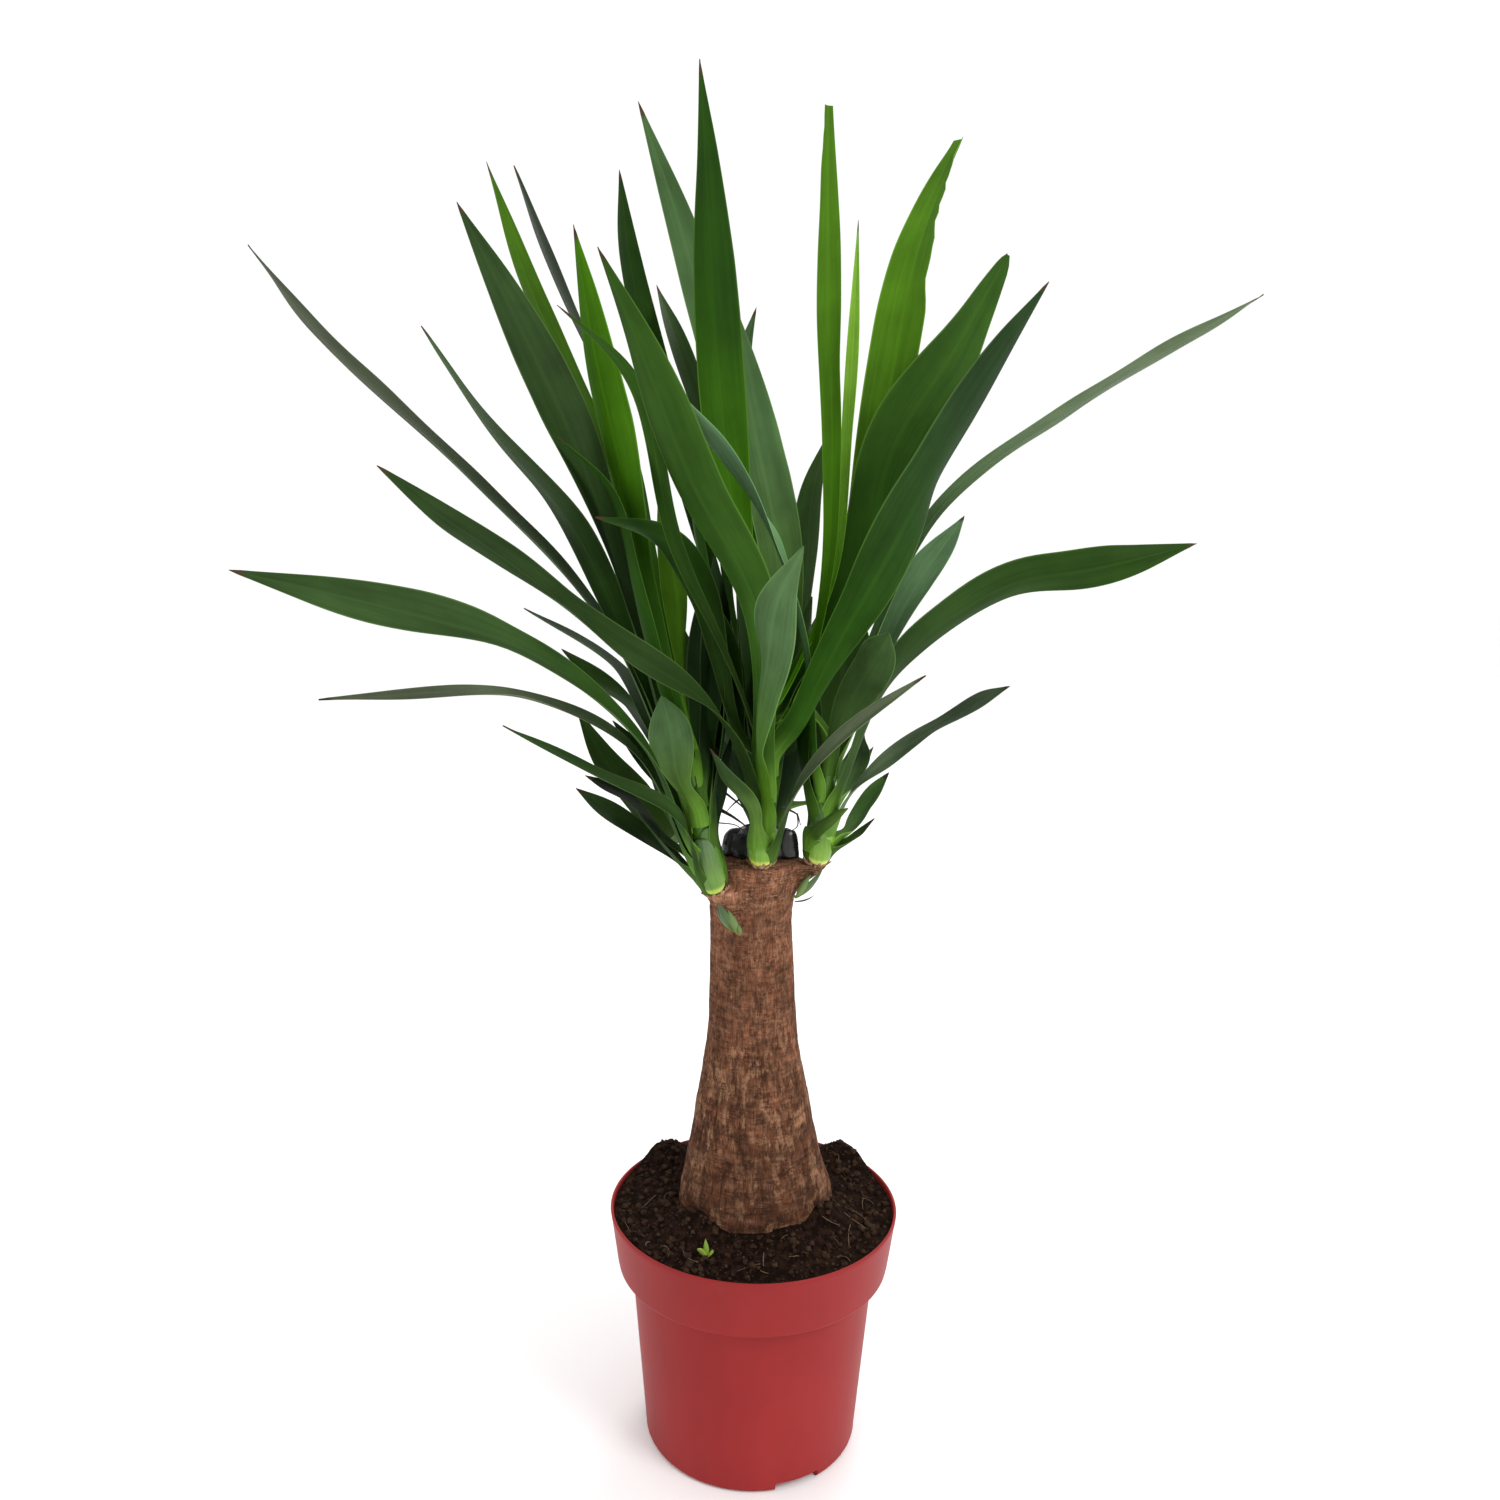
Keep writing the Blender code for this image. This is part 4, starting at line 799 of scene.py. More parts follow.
def make_cane():
    around = 300
    z = np.concatenate([np.linspace(52, 136, 8), np.linspace(139, 358.6, 300)])
    t = np.arange(around) * math.tau / around
    Z, T = np.meshgrid(z, t, indexing="ij")
    R, LEAN = cane_at(Z)
    wave = 6.0 / math.tau                                   # noise that closes round the cane
    cx, cy = np.cos(T), np.sin(T)
    big = layered(cx * 1.6 + 7, cy * 1.6, Z / 46, 3, 5)
    mid = layered(cx * 5, cy * 5, Z / 12, 3, 9)
    low_w = smooth01(-Z, -300, -205)                         # 1 low down, 0 under the head
    # fissures: short and upright low down, faint and level higher up
    upright = np.abs(layered(cx * 11 + 3, cy * 11, Z / 26, 2, 31))
    broken = smooth01(noise(cx * 5 + 9, cy * 5, Z / 9, 33), -0.35, 0.15)
    crack_low = (1 - smooth01(upright, 0.015, 0.09)) * broken * low_w
    across = np.abs(layered(cx * 2.6 + 5, cy * 2.6, Z / 3.4, 2, 57))
    there = smooth01(noise(cx * 3, cy * 3, Z / 12, 59), -0.05, 0.35)
    crack_up = (1 - smooth01(across, 0.01, 0.07)) * there * (0.45 + 0.25 * low_w)
    # small cork plates, taller than wide
    f1, gap, val = cells(T / math.tau * 52 + 0.5 * mid, Z / 11.0 + 0.7 * big, 52, 31, 6.0)
    seam = (1 - smooth01(gap, 0.02, 0.16)) * low_w * 0.38 * smooth01(noise(cx * 4, cy * 4, Z / 10, 91), -0.4, 0.3)
    crack = np.clip(np.maximum(np.maximum(crack_low, crack_up), seam), 0, 1)
    # painted light: low down, the plates on the cane's side towards the key lamp are lighter and carry more tan patches
    painted_lit_side = np.exp(-(np.angle(np.exp(1j * (T - math.radians(-38)))) / 0.75) ** 2)
    value = np.clip(0.5 + (val - 0.5) * (0.45 + 0.55 * low_w) + 0.22 * painted_lit_side * low_w * (val > 0.45), 0, 1)
    # scars of old leaves: level rings, plainer towards the top
    ring_line = np.zeros_like(Z)
    for z0, tilt, width, depth in ((353, 1.2, 0.8, 0.7), (345.5, -1.0, 0.7, 0.8), (338, 1.4, 0.8, 0.4), (330.5, 0.8, 1.0, 0.6),
                                   (322, -1.5, 0.7, 0.3), (312, 1.5, 0.7, 0.3), (300, -1.0, 0.6, 0.25), (289, 1.0, 0.7, 0.3),
                                   (276, 1.3, 0.6, 0.25), (264, -1.2, 0.7, 0.25)):
        level = z0 + tilt * np.sin(T + z0) + 1.6 * noise(cx * 2.2, cy * 2.2, Z * 0 + z0, 77)
        present = smooth01(noise(cx * 1.8 + z0, cy * 1.8, Z * 0, 81), -0.35, 0.25)
        ring_line = np.maximum(ring_line, depth * present * np.exp(-((Z - level) / width) ** 2))
    streak = layered(cx * 26, cy * 26, Z / 16, 2, 15)
    out = 0.8 * big + 0.40 * mid + 0.16 * streak * (0.5 + 0.5 * low_w)
    out = out - 0.75 * crack_low - 0.35 * crack_up - 0.25 * seam - 0.5 * ring_line + 0.30 * (val - 0.5) * low_w * (1 - seam)
    crack = np.clip(crack + 0.55 * ring_line, 0, 1)
    # root flare and bumps at the soil
    foot = smooth01(-Z, -178, -150)
    for az, up, wide in ((2, 3.6, 15), (-40, 1.4, 20), (196, 2.0, 18), (120, 2.4, 20), (255, 1.2, 14)):
        away = np.angle(np.exp(1j * (T - math.radians(az)))) * 180 / math.pi
        out = out + up * np.exp(-(away / wide) ** 2) * foot
    # small knob under the buds and a dent below the head
    away = np.angle(np.exp(1j * (T - math.radians(-122)))) * 180 / math.pi
    out = out + 1.1 * np.exp(-(away / 12) ** 2 - ((Z - 331) / 7) ** 2)
    # shoulders under the side shoots: azimuth, how far out, half angle, where they start, where the shoot stands
    torn = np.zeros_like(Z)
    for az, up, wide, z0, z1 in ((-8.0, 15.5, 13.5, 337, 356.6), (-129.0, 15.0, 14.5, 324, 346.0), (77.5, 14.5, 14.5, 328, 348.8)):
        away = np.angle(np.exp(1j * (T - math.radians(az)))) * 180 / math.pi
        rise = smooth01(Z, z0, z1 + 2) ** 1.25 * (1 - smooth01(Z, z1 + 0.2, z1 + 2.2))
        bump = up * np.exp(-np.abs(away / wide) ** 2.6) * rise
        out = out * (1 - 0.5 * bump / up) + bump * (1 + 0.05 * layered(cx * 9 + az, cy * 9, Z / 5, 2, 93))
        torn = np.maximum(torn, np.exp(-(away / (wide * 1.5)) ** 2) * smooth01(Z, z1 - 13, z1 - 3) * (1 - smooth01(Z, z1 + 3, z1 + 8)))
    value = np.maximum(value, torn * (0.78 + 0.25 * layered(cx * 14, cy * 14, Z / 3, 2, 95)))
    low_w = np.maximum(low_w, 0.9 * torn)
    crack = np.clip(crack + 0.5 * torn * smooth01(layered(cx * 12, cy * 12, Z / 2.2, 2, 97), 0.1, 0.35), 0, 1)
    rr = R + out
    V = np.stack([LEAN + rr * cx, rr * cy, Z], axis=-1)
    # rounded edge and rough cut top
    rows = [V[i] for i in range(len(z))]
    rowc = [np.stack([crack[i], value[i], low_w[i]], axis=1) for i in range(len(z))]
    uvs = [np.stack([T[i] * 40.0, Z[i]], axis=1) for i in range(len(z))]
    last = rows[-1]
    mid_pt = np.array([float(LEAN[-1, 0]), 0.0, 0.0])
    for k, dz in ((0.965, 1.3), (0.90, 1.9), (0.78, 1.6), (0.6, 1.4), (0.4, 1.5), (0.2, 1.4), (0.02, 1.4)):
        ring = mid_pt + (last - mid_pt) * np.array([k, k, 0.0])
        ring[:, 2] = last[:, 2] + dz + 0.45 * layered(ring[:, 0] / 3, ring[:, 1] / 3, 0 * t, 3, 61)
        rows.append(ring)
        rowc.append(np.stack([0.3 + 0 * t, 0.75 + 0 * t, 0 * t], axis=1))
        uvs.append(np.stack([ring[:, 0] * 1.0 + 300, ring[:, 1] * 1.0], axis=1))
    verts = np.concatenate(rows)
    faces = grid_faces(len(rows), around, close=True)
    faces.append(tuple(range(around))[::-1])
    faces.append(tuple((len(rows) - 1) * around + j for j in range(around)))
    return mesh_piece("cane_bark", verts, faces, BARK, "trunk", uv={"mm": np.concatenate(uvs)},
                      colour={"plates": np.concatenate(rowc)})


# ------------------------------------------------------------------ sealing wax
def make_wax():
    parts = []
    for (cx, cy, z0, rx, ry, up, seed) in ((1, 5, 359.6, 20.8, 15.2, 16.5, 3), (15.5, -3.0, 361.0, 7.0, 5.5, 15.5, 8),
                                           (-13, 3, 360.5, 8.5, 6.5, 14.0, 12)):
        around, rings = 56, 22
        rows = []
        for i in range(rings + 1):
            a = math.pi / 2 * i / rings
            k = math.cos(a) ** 0.55
            t = np.arange(around) * math.tau / around
            lump_ = 1 + 0.13 * layered(np.cos(t) * 2.2 + seed, np.sin(t) * 2.2, 0 * t + i * 0.16, 3, seed)
            rows.append(np.stack([cx + rx * k * lump_ * np.cos(t), cy + ry * k * lump_ * np.sin(t),
                                  z0 + up * math.sin(a) + 0.9 * layered(np.cos(t) * 3 * k, np.sin(t) * 3 * k, 0 * t + seed, 3, 71) * min(1, i / 4)],
                                 axis=1))
        verts = np.concatenate(rows)
        faces = grid_faces(len(rows), around, close=True)
        faces.append(tuple(range(around))[::-1])
        faces.append(tuple((len(rows) - 1) * around + j for j in range(around)))
        parts.append((verts, faces))
    v, f = gather(parts)
    return mesh_piece("wax_top", v, f, WAX, "wax_cap")


# ------------------------------------------------------------------ shoots and leaves
YOUNG, RIM_TONE, HIGH = np.array([0.105, 0.250, 0.018]), np.array([0.330, 0.480, 0.075]), np.array([0.070, 0.190, 0.014])


def plate(key, azimuth, low, high, half, out, tones, bulge=0.8, thick=0.9, rows=26, cols=21, lean=0.0, seed=0):
    """A leaf sheath or a trimmed leaf stub that wraps a shoot: low and high are heights on the
    shoot at its middle, half is half its angle round the shoot, tones are rim, body and top."""
    s = np.linspace(0, 1, rows)
    q = np.linspace(-1, 1, cols)
    faces_out = []
    for layer in (thick, 0.0):
        ring = []
        for i in range(rows):
            row = []
            for j in range(cols):
                h = low + 2.6 * abs(q[j]) ** 2.2 * (1 - s[i]) + s[i] * (high - low) * (1 - 0.30 * abs(q[j]) ** 3)
                c, d, o, r = on_shoot(key, h, azimuth)
                across = np.cross(d, o)
                a = math.radians(half) * q[j] * (1 - 0.10 * s[i])
                rr = r + out + bulge * math.sin(math.pi * min(1.0, s[i] * 1.15)) ** 0.8 * (1 - q[j] ** 2) + layer * (1 - 0.6 * abs(q[j]) ** 4)
                if s[i] < 0.06:
                    rr -= 0.5 * layer * (1 - s[i] / 0.06)
                rr += 0.10 * math.sin(q[j] * 19 + seed) * (1 - abs(q[j]))
                row.append(c + rr * (o * math.cos(a) + across * math.sin(a)) + o * lean * s[i] ** 2)
            ring.append(row)
        faces_out.append(np.array(ring))
    top, bottom = faces_out
    verts = np.concatenate([top.reshape(-1, 3), bottom.reshape(-1, 3)])
    B = rows * cols
    faces = grid_faces(rows, cols, flip=True) + grid_faces(rows, cols, start=B)
    for i in range(rows - 1):
        a0, a1 = i * cols, (i + 1) * cols
        faces.append((a0, B + a0, B + a1, a1))
        faces.append((a0 + cols - 1, a1 + cols - 1, B + a1 + cols - 1, B + a0 + cols - 1))
    faces.append(tuple([j for j in range(cols - 1, -1, -1)] + [B + j for j in range(cols)]))
    e = (rows - 1) * cols
    faces.append(tuple([e + j for j in range(cols)] + [B + e + j for j in range(cols - 1, -1, -1)]))
    rim, body, tip = (np.array(t) for t in tones)
    mm = s * (high - low)
    k1, k2 = smooth01(mm, 1.5, 4.5)[:, None, None], smooth01(s, 0.25, 1.0)[:, None, None]
    tone = (rim * (1 - k1) + body * k1) * (1 - k2) + tip * k2
    edge = (np.abs(q) ** 6)[None, :, None] * 0.35
    tone = tone * (1 - edge) + rim * edge * (0.4 + 0.6 * (1 - k2))
    uv = np.stack(np.meshgrid(s, (q + 1) / 2, indexing="ij"), axis=-1).reshape(-1, 2)
    tone = np.broadcast_to(tone, (rows, cols, 3)).reshape(-1, 3)
    return verts, faces, np.concatenate([uv, uv]), np.concatenate([tone, tone * 0.9])


SHEATHS = {                      # azimuth, low, high, half angle, out, bulge, lean, tones
    "left": ((262, 2.0, 35.0, 58, 1.3, 1.2, 0.0, ((0.42, 0.55, 0.07), (0.095, 0.205, 0.022), (0.075, 0.140, 0.050))),
             (300, 5.0, 40.0, 62, 0.5, 0.8, 0.0, ((0.25, 0.40, 0.05), (0.070, 0.185, 0.014), (0.050, 0.140, 0.010))),
             (200, 1.0, 30.0, 70, 0.7, 0.8, 0.4, ((0.16, 0.28, 0.04), (0.040, 0.095, 0.018), (0.030, 0.075, 0.012))),
             (150, 3.0, 32.0, 70, 0.6, 0.8, 0.6, ((0.16, 0.28, 0.04), (0.035, 0.085, 0.015), (0.030, 0.070, 0.012)))),
    "centre": ((262, 1.0, 17.0, 66, 0.9, 1.4, 0.0, ((0.48, 0.60, 0.08), (0.135, 0.290, 0.014), (0.085, 0.200, 0.016))),
               (305, 3.0, 30.0, 60, 0.3, 0.7, 0.0, ((0.40, 0.54, 0.08), (0.150, 0.310, 0.020), (0.075, 0.190, 0.014))),
               (225, 4.0, 34.0, 60, 0.2, 0.7, 0.0, ((0.25, 0.38, 0.06), (0.075, 0.150, 0.030), (0.045, 0.105, 0.018)))),
    "right": ((285, 1.0, 20.0, 62, 0.8, 1.3, 0.0, ((0.50, 0.62, 0.12), (0.165, 0.320, 0.022), (0.095, 0.215, 0.018))),
              (330, 2.0, 34.0, 60, 0.4, 0.8, 0.0, ((0.50, 0.60, 0.14), (0.235, 0.420, 0.045), (0.110, 0.250, 0.018))),
              (240, 3.0, 38.0, 56, 0.4, 0.7, 0.0, ((0.22, 0.36, 0.05), (0.050, 0.120, 0.016), (0.035, 0.095, 0.012)))),
    "back": ((90, 1.0, 26.0, 66, 0.8, 1.0, 0.0, ((0.33, 0.48, 0.08), (0.095, 0.230, 0.018), (0.070, 0.180, 0.014))),
             (270, 2.0, 30.0, 66, 0.6, 0.8, 0.0, ((0.25, 0.38, 0.06), (0.070, 0.170, 0.014), (0.050, 0.130, 0.012)))),
}


def make_shoot(key):
    pts, u, length = shoot_line(key, 70)
    around = 40
    d = np.gradient(pts, axis=0)
    d /= np.linalg.norm(d, axis=1)[:, None]
    t = np.arange(around) * math.tau / around
    verts, uv, tone = [], [], []
    for i in range(len(pts)):
        side = unit(np.cross(d[i], np.array([0.0, 1.0, 0.0])))
        up = np.cross(side, d[i])
        h = u[i] * length
        scar = 0.35 * np.abs(np.sin(h / 3.4 + 0.8 * np.sin(t + h / 5)))
        end = math.sqrt(max(0.02, 1 - ((1 - u[i] / 0.05) if u[i] < 0.05 else 0) ** 2)) if u[i] < 0.05 else 1.0
        r = (shoot_radius(u[i], key) - 0.2) * end + scar - 0.2
        if u[i] > 0.96:
            r = r * math.sqrt(max(0.02, (1 - u[i]) / 0.04))
        verts.append(pts[i] + np.outer(r * np.cos(t), side) + np.outer(r * np.sin(t), up))
        uv.append(np.stack([np.full(around, u[i]), t / math.tau], axis=1))
        c = RIM_TONE + (YOUNG - RIM_TONE) * smooth01(h, 1.0, 5.0)
        c = c + (HIGH - c) * smooth01(u[i], 0.15, 0.8)
        tone.append(np.outer(1 - 0.35 * scar, c))
    faces = grid_faces(len(pts), around, close=True)
    faces.append(tuple(range(around))[::-1])
    faces.append(tuple((len(pts) - 1) * around + j for j in range(around)))
    verts, uv, tone = [np.concatenate(verts)], [np.concatenate(uv)], [np.concatenate(tone)]
    n = len(verts[0])
    for k, (az, lo, hi, half, out, bulge, lean, tones) in enumerate(SHEATHS[key]):
        v, f, q, c = plate(key, az, lo, hi, half, out, tones, bulge, 0.8, lean=lean, seed=k)
        verts.append(v)
        uv.append(q)
        tone.append(c)
        faces += [tuple(i + n for i in g) for g in f]
        n += len(v)
    return mesh_piece(f"stem_{key}", np.concatenate(verts), faces, STEM, f"shoot_{key}",
                      uv={"blade": np.concatenate(uv)}, colour={"tone": np.concatenate(tone)}, sharp=60)


BASE_TONE = np.array([0.105, 0.240, 0.024])


def leaf_piece(name, row, look, number, rows=64, cols=15):
    shoot, height, azimuth, via, width, twist = row[:6]
    keep = row[6] if len(row) > 6 else 1.0
    c0, stem, out, r0 = on_shoot(shoot, height, azimuth)
    base = c0 + out * (r0 + 1.2)
    path = smooth_curve([base] + list(via), unit(stem + 0.35 * out), 24)
    blade_pts, bu, length = even(path, rows)
    # the clasping foot: down the shoot from where the blade leaves it
    hold = min(9.0, height * 0.6)
    nh = 8
    foot = []
    for i in range(nh):
        c, dd, oo, r = on_shoot(shoot, height - hold * (1 - i / nh), azimuth)
        foot.append(c + oo * (r + 0.5 + 0.7 * (i / nh) ** 2))
    pts = np.concatenate([np.array(foot), blade_pts])
    u = np.concatenate([-hold / length * (1 - np.arange(nh) / nh), bu])
    pts = rounded(pts, 6)
    d = np.gradient(pts, axis=0)
    d /= np.linalg.norm(d, axis=1)[:, None]
    a = math.radians(azimuth)
    across = np.array([-math.sin(a), math.cos(a), 0.0])
    side = across - (d @ across)[:, None] * d
    side /= np.linalg.norm(side, axis=1)[:, None]
    tw = np.interp(u, TWIST_AT, [0, 0, *twist, twist[-1]])
    tw = np.radians(rounded(tw[:, None], 4))
    face = np.cross(d, side)
    side, face = side * np.cos(tw) + face * np.sin(tw), face * np.cos(tw) - side * np.sin(tw)
    w = width * np.interp(np.clip(u, 0, 1) * keep, [p for p, q in LEAF_OUTLINE], [q for p, q in LEAF_OUTLINE])
    w = np.convolve(np.pad(w, 2, mode="edge"), [.1, .2, .4, .2, .1], "valid")
    stalk = STALK.get(name, 1.0)
    w = w * (1 - (1 - stalk) * (1 - smooth01(u, 0.18, 0.52)))
    grip_u = 14.0 / length                                    # where the clasp has opened into the blade
    grip = 1 - smooth01(u, -0.2 * grip_u, 1.5 * grip_u)
    curl = 0.34 + (1.25 - 0.34) * grip + 0.22 * np.exp(-((u - 0.12) / 0.10) ** 2)
    w = w * (1 - grip) + np.maximum(w, 2 * 1.25 * (r0 + 0.8)) * grip
    w = np.maximum(w, 0.5)
    if keep >= 1.0:
        w = w * (1 - smooth01(u, 0.985, 1.0) * 0.8)
    if name in BLUNT:
        w = w * np.sqrt(1 - 0.92 * np.clip((u - 0.965) / 0.035, 0, 1) ** 2)
    q = np.linspace(-1, 1, cols)
    q = np.sign(q) * (1 - (1 - np.abs(q)) ** 1.25)
    half = w / 2
    rng = np.random.default_rng(900 + number)
    ph = rng.uniform(0, math.tau, 4)
    wave = look[2] * smooth01(u, 0.15, 0.4) * (np.sin(u * length / 21 + ph[0]) + 0.6 * np.sin(u * length / 11 + ph[1]))
    wave2 = look[2] * smooth01(u, 0.15, 0.4) * (np.sin(u * length / 19 + ph[2]) + 0.6 * np.sin(u * length / 12 + ph[3]))
    left_half, right_half = half.copy(), half.copy()
    bite = LEAF_EDGE.get(name)
    if bite:
        for start, stop, deep, which in bite:
            nibble = deep * smooth01(u, start, stop) * (1 + 0.25 * noise(u * length / 4.0, 0 * u, 0 * u + number, 5))
            if which < 0:
                left_half = left_half * (1 - np.clip(nibble, 0, 0.97))
            else:
                right_half = right_half * (1 - np.clip(nibble, 0, 0.97))
    top, bottom = [], []
    thick = 0.55 + 0.55 * (1 - smooth01(u, 0.02, 0.30)) + 0.9 * grip
    for qq in q:
        hw = np.where(qq < 0, left_half, right_half)
        radius = half / curl
        ang = qq * curl
        x = radius * np.sin(ang) * hw / np.maximum(half, 1e-6)
        y = radius * (1 - np.cos(ang)) + 0.05 * w * abs(qq) * (1 - grip)
        y = y + (wave if qq < 0 else wave2) * 0.5 * qq * qq * (1 - grip)
        p = pts + side * x[:, None] + face * y[:, None]
        n = unit_rows(face * np.cos(ang)[:, None] - side * np.sin(ang)[:, None])
        th = thick * (1 - 0.62 * abs(qq) ** 3)
        top.append(p + n * (th / 2)[:, None])
        bottom.append(p - n * (th / 2)[:, None])
    top, bottom = np.stack(top, axis=1), np.stack(bottom, axis=1)
    R = len(u)
    verts = np.concatenate([top.reshape(-1, 3), bottom.reshape(-1, 3)])
    faces = grid_faces(R, cols) + grid_faces(R, cols, start=R * cols, flip=True)
    B = R * cols
    for i in range(R - 1):
        a0, a1 = i * cols, (i + 1) * cols
        faces.append((a0, a1, B + a1, B + a0))
        faces.append((a0 + cols - 1, B + a0 + cols - 1, B + a1 + cols - 1, a1 + cols - 1))
    faces.append(tuple([j for j in range(cols)] + [B + j for j in range(cols - 1, -1, -1)]))
    e = (R - 1) * cols
    faces.append(tuple([e + j for j in range(cols - 1, -1, -1)] + [B + e + j for j in range(cols)]))
    lights = look[4:6] if len(look) > 4 else (1.0, 1.0)
    c1, c2 = np.array(TONES[look[0]]) * lights[0], np.array(TONES[look[1]]) * lights[1]
    mixu = smooth01(u, 0.15, 0.75)[:, None]
    tone = c1 * (1 - mixu) + c2 * mixu
    # leaves with a dark foot tone, the painted shade of the inner leaves among them, keep less of the pale base
    young = (1 - smooth01(u * length, -4.0, 26.0))[:, None] * (0.35 if look[0] in ("slate", "dark", "deep", "black") else 0.9)
    tone = tone * (1 - young) + BASE_TONE * young
    tone = np.repeat(tone[:, None, :], cols, axis=1)
    tone = tone.reshape(-1, 3)
    uvb = np.stack(np.meshgrid(u, (q + 1) / 2, indexing="ij"), axis=-1).reshape(-1, 2)
    dry = np.zeros(R)
    if look[3] > 0:
        dry = smooth01(u, 1 - look[3] - 8.0 / length, 1 - 0.2 * look[3])
    uvl = np.stack([np.full(R * cols, number * 7.3), np.repeat(dry, cols)], axis=1)
    under = tone * np.array([1.10, 1.06, 1.15])
    return mesh_piece(name.replace("leaf_", "blade_"), verts, faces, LEAF, name if name in LEAVES else None,
                      uv={"blade": np.concatenate([uvb, uvb]), "leaf": np.concatenate([uvl, uvl])},
                      colour={"tone": np.concatenate([tone, under])}, sharp=60)


def unit_rows(v):
    return v / np.maximum(1e-12, np.linalg.norm(v, axis=1))[:, None]


STALK = {"leaf_centre_10": 0.52, "leaf_right_07": 0.75, "leaf_left_09": 0.85}      # how much narrower low down
BLUNT = ("leaf_centre_07", "leaf_right_11", "leaf_right_07")
# torn or cut edges: from, to (share of the length), depth (share of the half width), side
LEAF_EDGE = {
    "leaf_centre_06": ((0.66, 0.72, 0.20, -1), (0.78, 0.80, 0.22, -1), (0.87, 0.89, 0.30, -1), (0.94, 0.955, 0.35, -1)),
    "leaf_centre_04": ((0.90, 0.97, 0.25, 1),),
}


# ------------------------------------------------------------------ buds, sprout, torn fibres
def bud_leaf(base, tip, width, bow, tone, number, thick=0.7, rows=14, cols=7, curl=0.9):
    """A small pointed scale from base to tip (mm), bowed outward."""
    base, tip, bow = np.array(base, float), np.array(tip, float), np.array(bow, float)
    s = np.linspace(0, 1, rows)
    pts = base + (tip - base) * s[:, None] + bow * (np.sin(math.pi * s) ** 0.8)[:, None]
    d = np.gradient(pts, axis=0)
    d = unit_rows(d)
    n = unit_rows(bow[None, :] - (d @ bow)[:, None] * d)
    side = np.cross(d, n)
    w = width * np.sin(math.pi * np.clip(s * 0.86 + 0.14, 0, 1)) ** 0.9
    w[-1] = 0.15
    top, bottom = [], []
    for qq in np.linspace(-1, 1, cols):
        ang = qq * curl
        r = w / 2 / curl
        p = pts + side * (r * math.sin(ang))[:, None] - n * (r * (1 - math.cos(ang)))[:, None]
        m = n * math.cos(ang) + side * math.sin(ang)
        th = thick * (1 - 0.5 * abs(qq) ** 2) * (1 - 0.6 * s)
        top.append(p + m * (th / 2)[:, None])
        bottom.append(p - m * (th / 2)[:, None])
    top, bottom = np.stack(top, axis=1), np.stack(bottom, axis=1)
    verts = np.concatenate([top.reshape(-1, 3), bottom.reshape(-1, 3)])
    B = rows * cols
    faces = grid_faces(rows, cols, flip=True) + grid_faces(rows, cols, start=B)
    for i in range(rows - 1):
        a0, a1 = i * cols, (i + 1) * cols
        faces.append((a0, B + a0, B + a1, a1))
        faces.append((a0 + cols - 1, a1 + cols - 1, B + a1 + cols - 1, B + a0 + cols - 1))
    faces.append(tuple([j for j in range(cols - 1, -1, -1)] + [B + j for j in range(cols)]))
    e = (rows - 1) * cols
    faces.append(tuple([e + j for j in range(cols)] + [B + e + j for j in range(cols - 1, -1, -1)]))
    uvb = np.stack(np.meshgrid(s, np.linspace(0, 1, cols), indexing="ij"), axis=-1).reshape(-1, 2)
    c = np.outer(1 - 0.25 * s, np.array(tone)) + np.outer(0.22 * (1 - s) ** 2, np.array([0.30, 0.35, 0.10]))
    c = np.repeat(c[:, None, :], cols, axis=1).reshape(-1, 3)
    return verts, faces, np.concatenate([uvb, uvb]), np.concatenate([c, c])


def leafy_bud(name, node, scales):
    verts, faces, uv, tone, n = [], [], [], [], 0
    for k, (base, tip, width, bow, colour) in enumerate(scales):
        v, f, q, c = bud_leaf(base, tip, width, bow, colour, k)
        verts.append(v)
        uv.append(q)
        tone.append(c)
        faces += [tuple(i + n for i in g) for g in f]
        n += len(v)
    return mesh_piece(name, np.concatenate(verts), faces, STEM, node, uv={"blade": np.concatenate(uv)},
                      colour={"tone": np.concatenate(tone)}, sharp=60)


def make_buds():
    g, y, k = (0.040, 0.098, 0.018), (0.105, 0.185, 0.040), (0.02, 0.022, 0.012)
    leafy_bud("bud_front_scales", "bud_front", (
        ((-13.4, -24.2, 323.0), (-22.6, -32.4, 342.5), 6.2, (-0.2, -2.2, -0.8), g),
        ((-11.8, -24.8, 323.0), (-17.2, -30.6, 337.5), 4.6, (0.9, -1.8, -0.4), y),
        ((-16.0, -23.4, 324.0), (-22.8, -29.6, 338.0), 4.2, (-1.5, -1.3, -0.3), g),
        ((-10.2, -23.6, 321.0), (-12.6, -27.6, 329.5), 3.0, (1.2, -1.4, -0.2), y),
    ))
    leafy_bud("bud_side_scales", "bud_side", (
        ((20.6, -10.6, 338.6), (35.2, -14.6, 357.0), 5.6, (0.9, -2.0, -0.9), g),
        ((21.6, -11.8, 340.4), (28.6, -15.6, 353.8), 4.4, (-0.7, -1.6, 0.1), y),
        ((21.8, -8.0, 338.4), (32.6, -10.6, 350.6), 4.2, (1.6, -0.8, -0.8), g),
        ((20.4, -10.0, 336.4), (30.8, -12.6, 341.0), 2.4, (0.6, -0.7, -1.0), k),
    ))
    leafy_bud("sprout_leaves", "soil_sprout", (
        ((-27.0, -57.0, 144.5), (-31.5, -60.0, 152.0), 4.4, (-1.0, -1.0, 1.4), (0.30, 0.42, 0.05)),
        ((-26.5, -57.0, 144.5), (-23.0, -60.5, 150.5), 4.0, (1.0, -0.8, 1.2), (0.34, 0.46, 0.07)),
        ((-26.8, -56.4, 144.5), (-27.6, -56.4, 155.5), 3.4, (0.2, -1.0, 0.0), (0.22, 0.36, 0.04)),
    ))


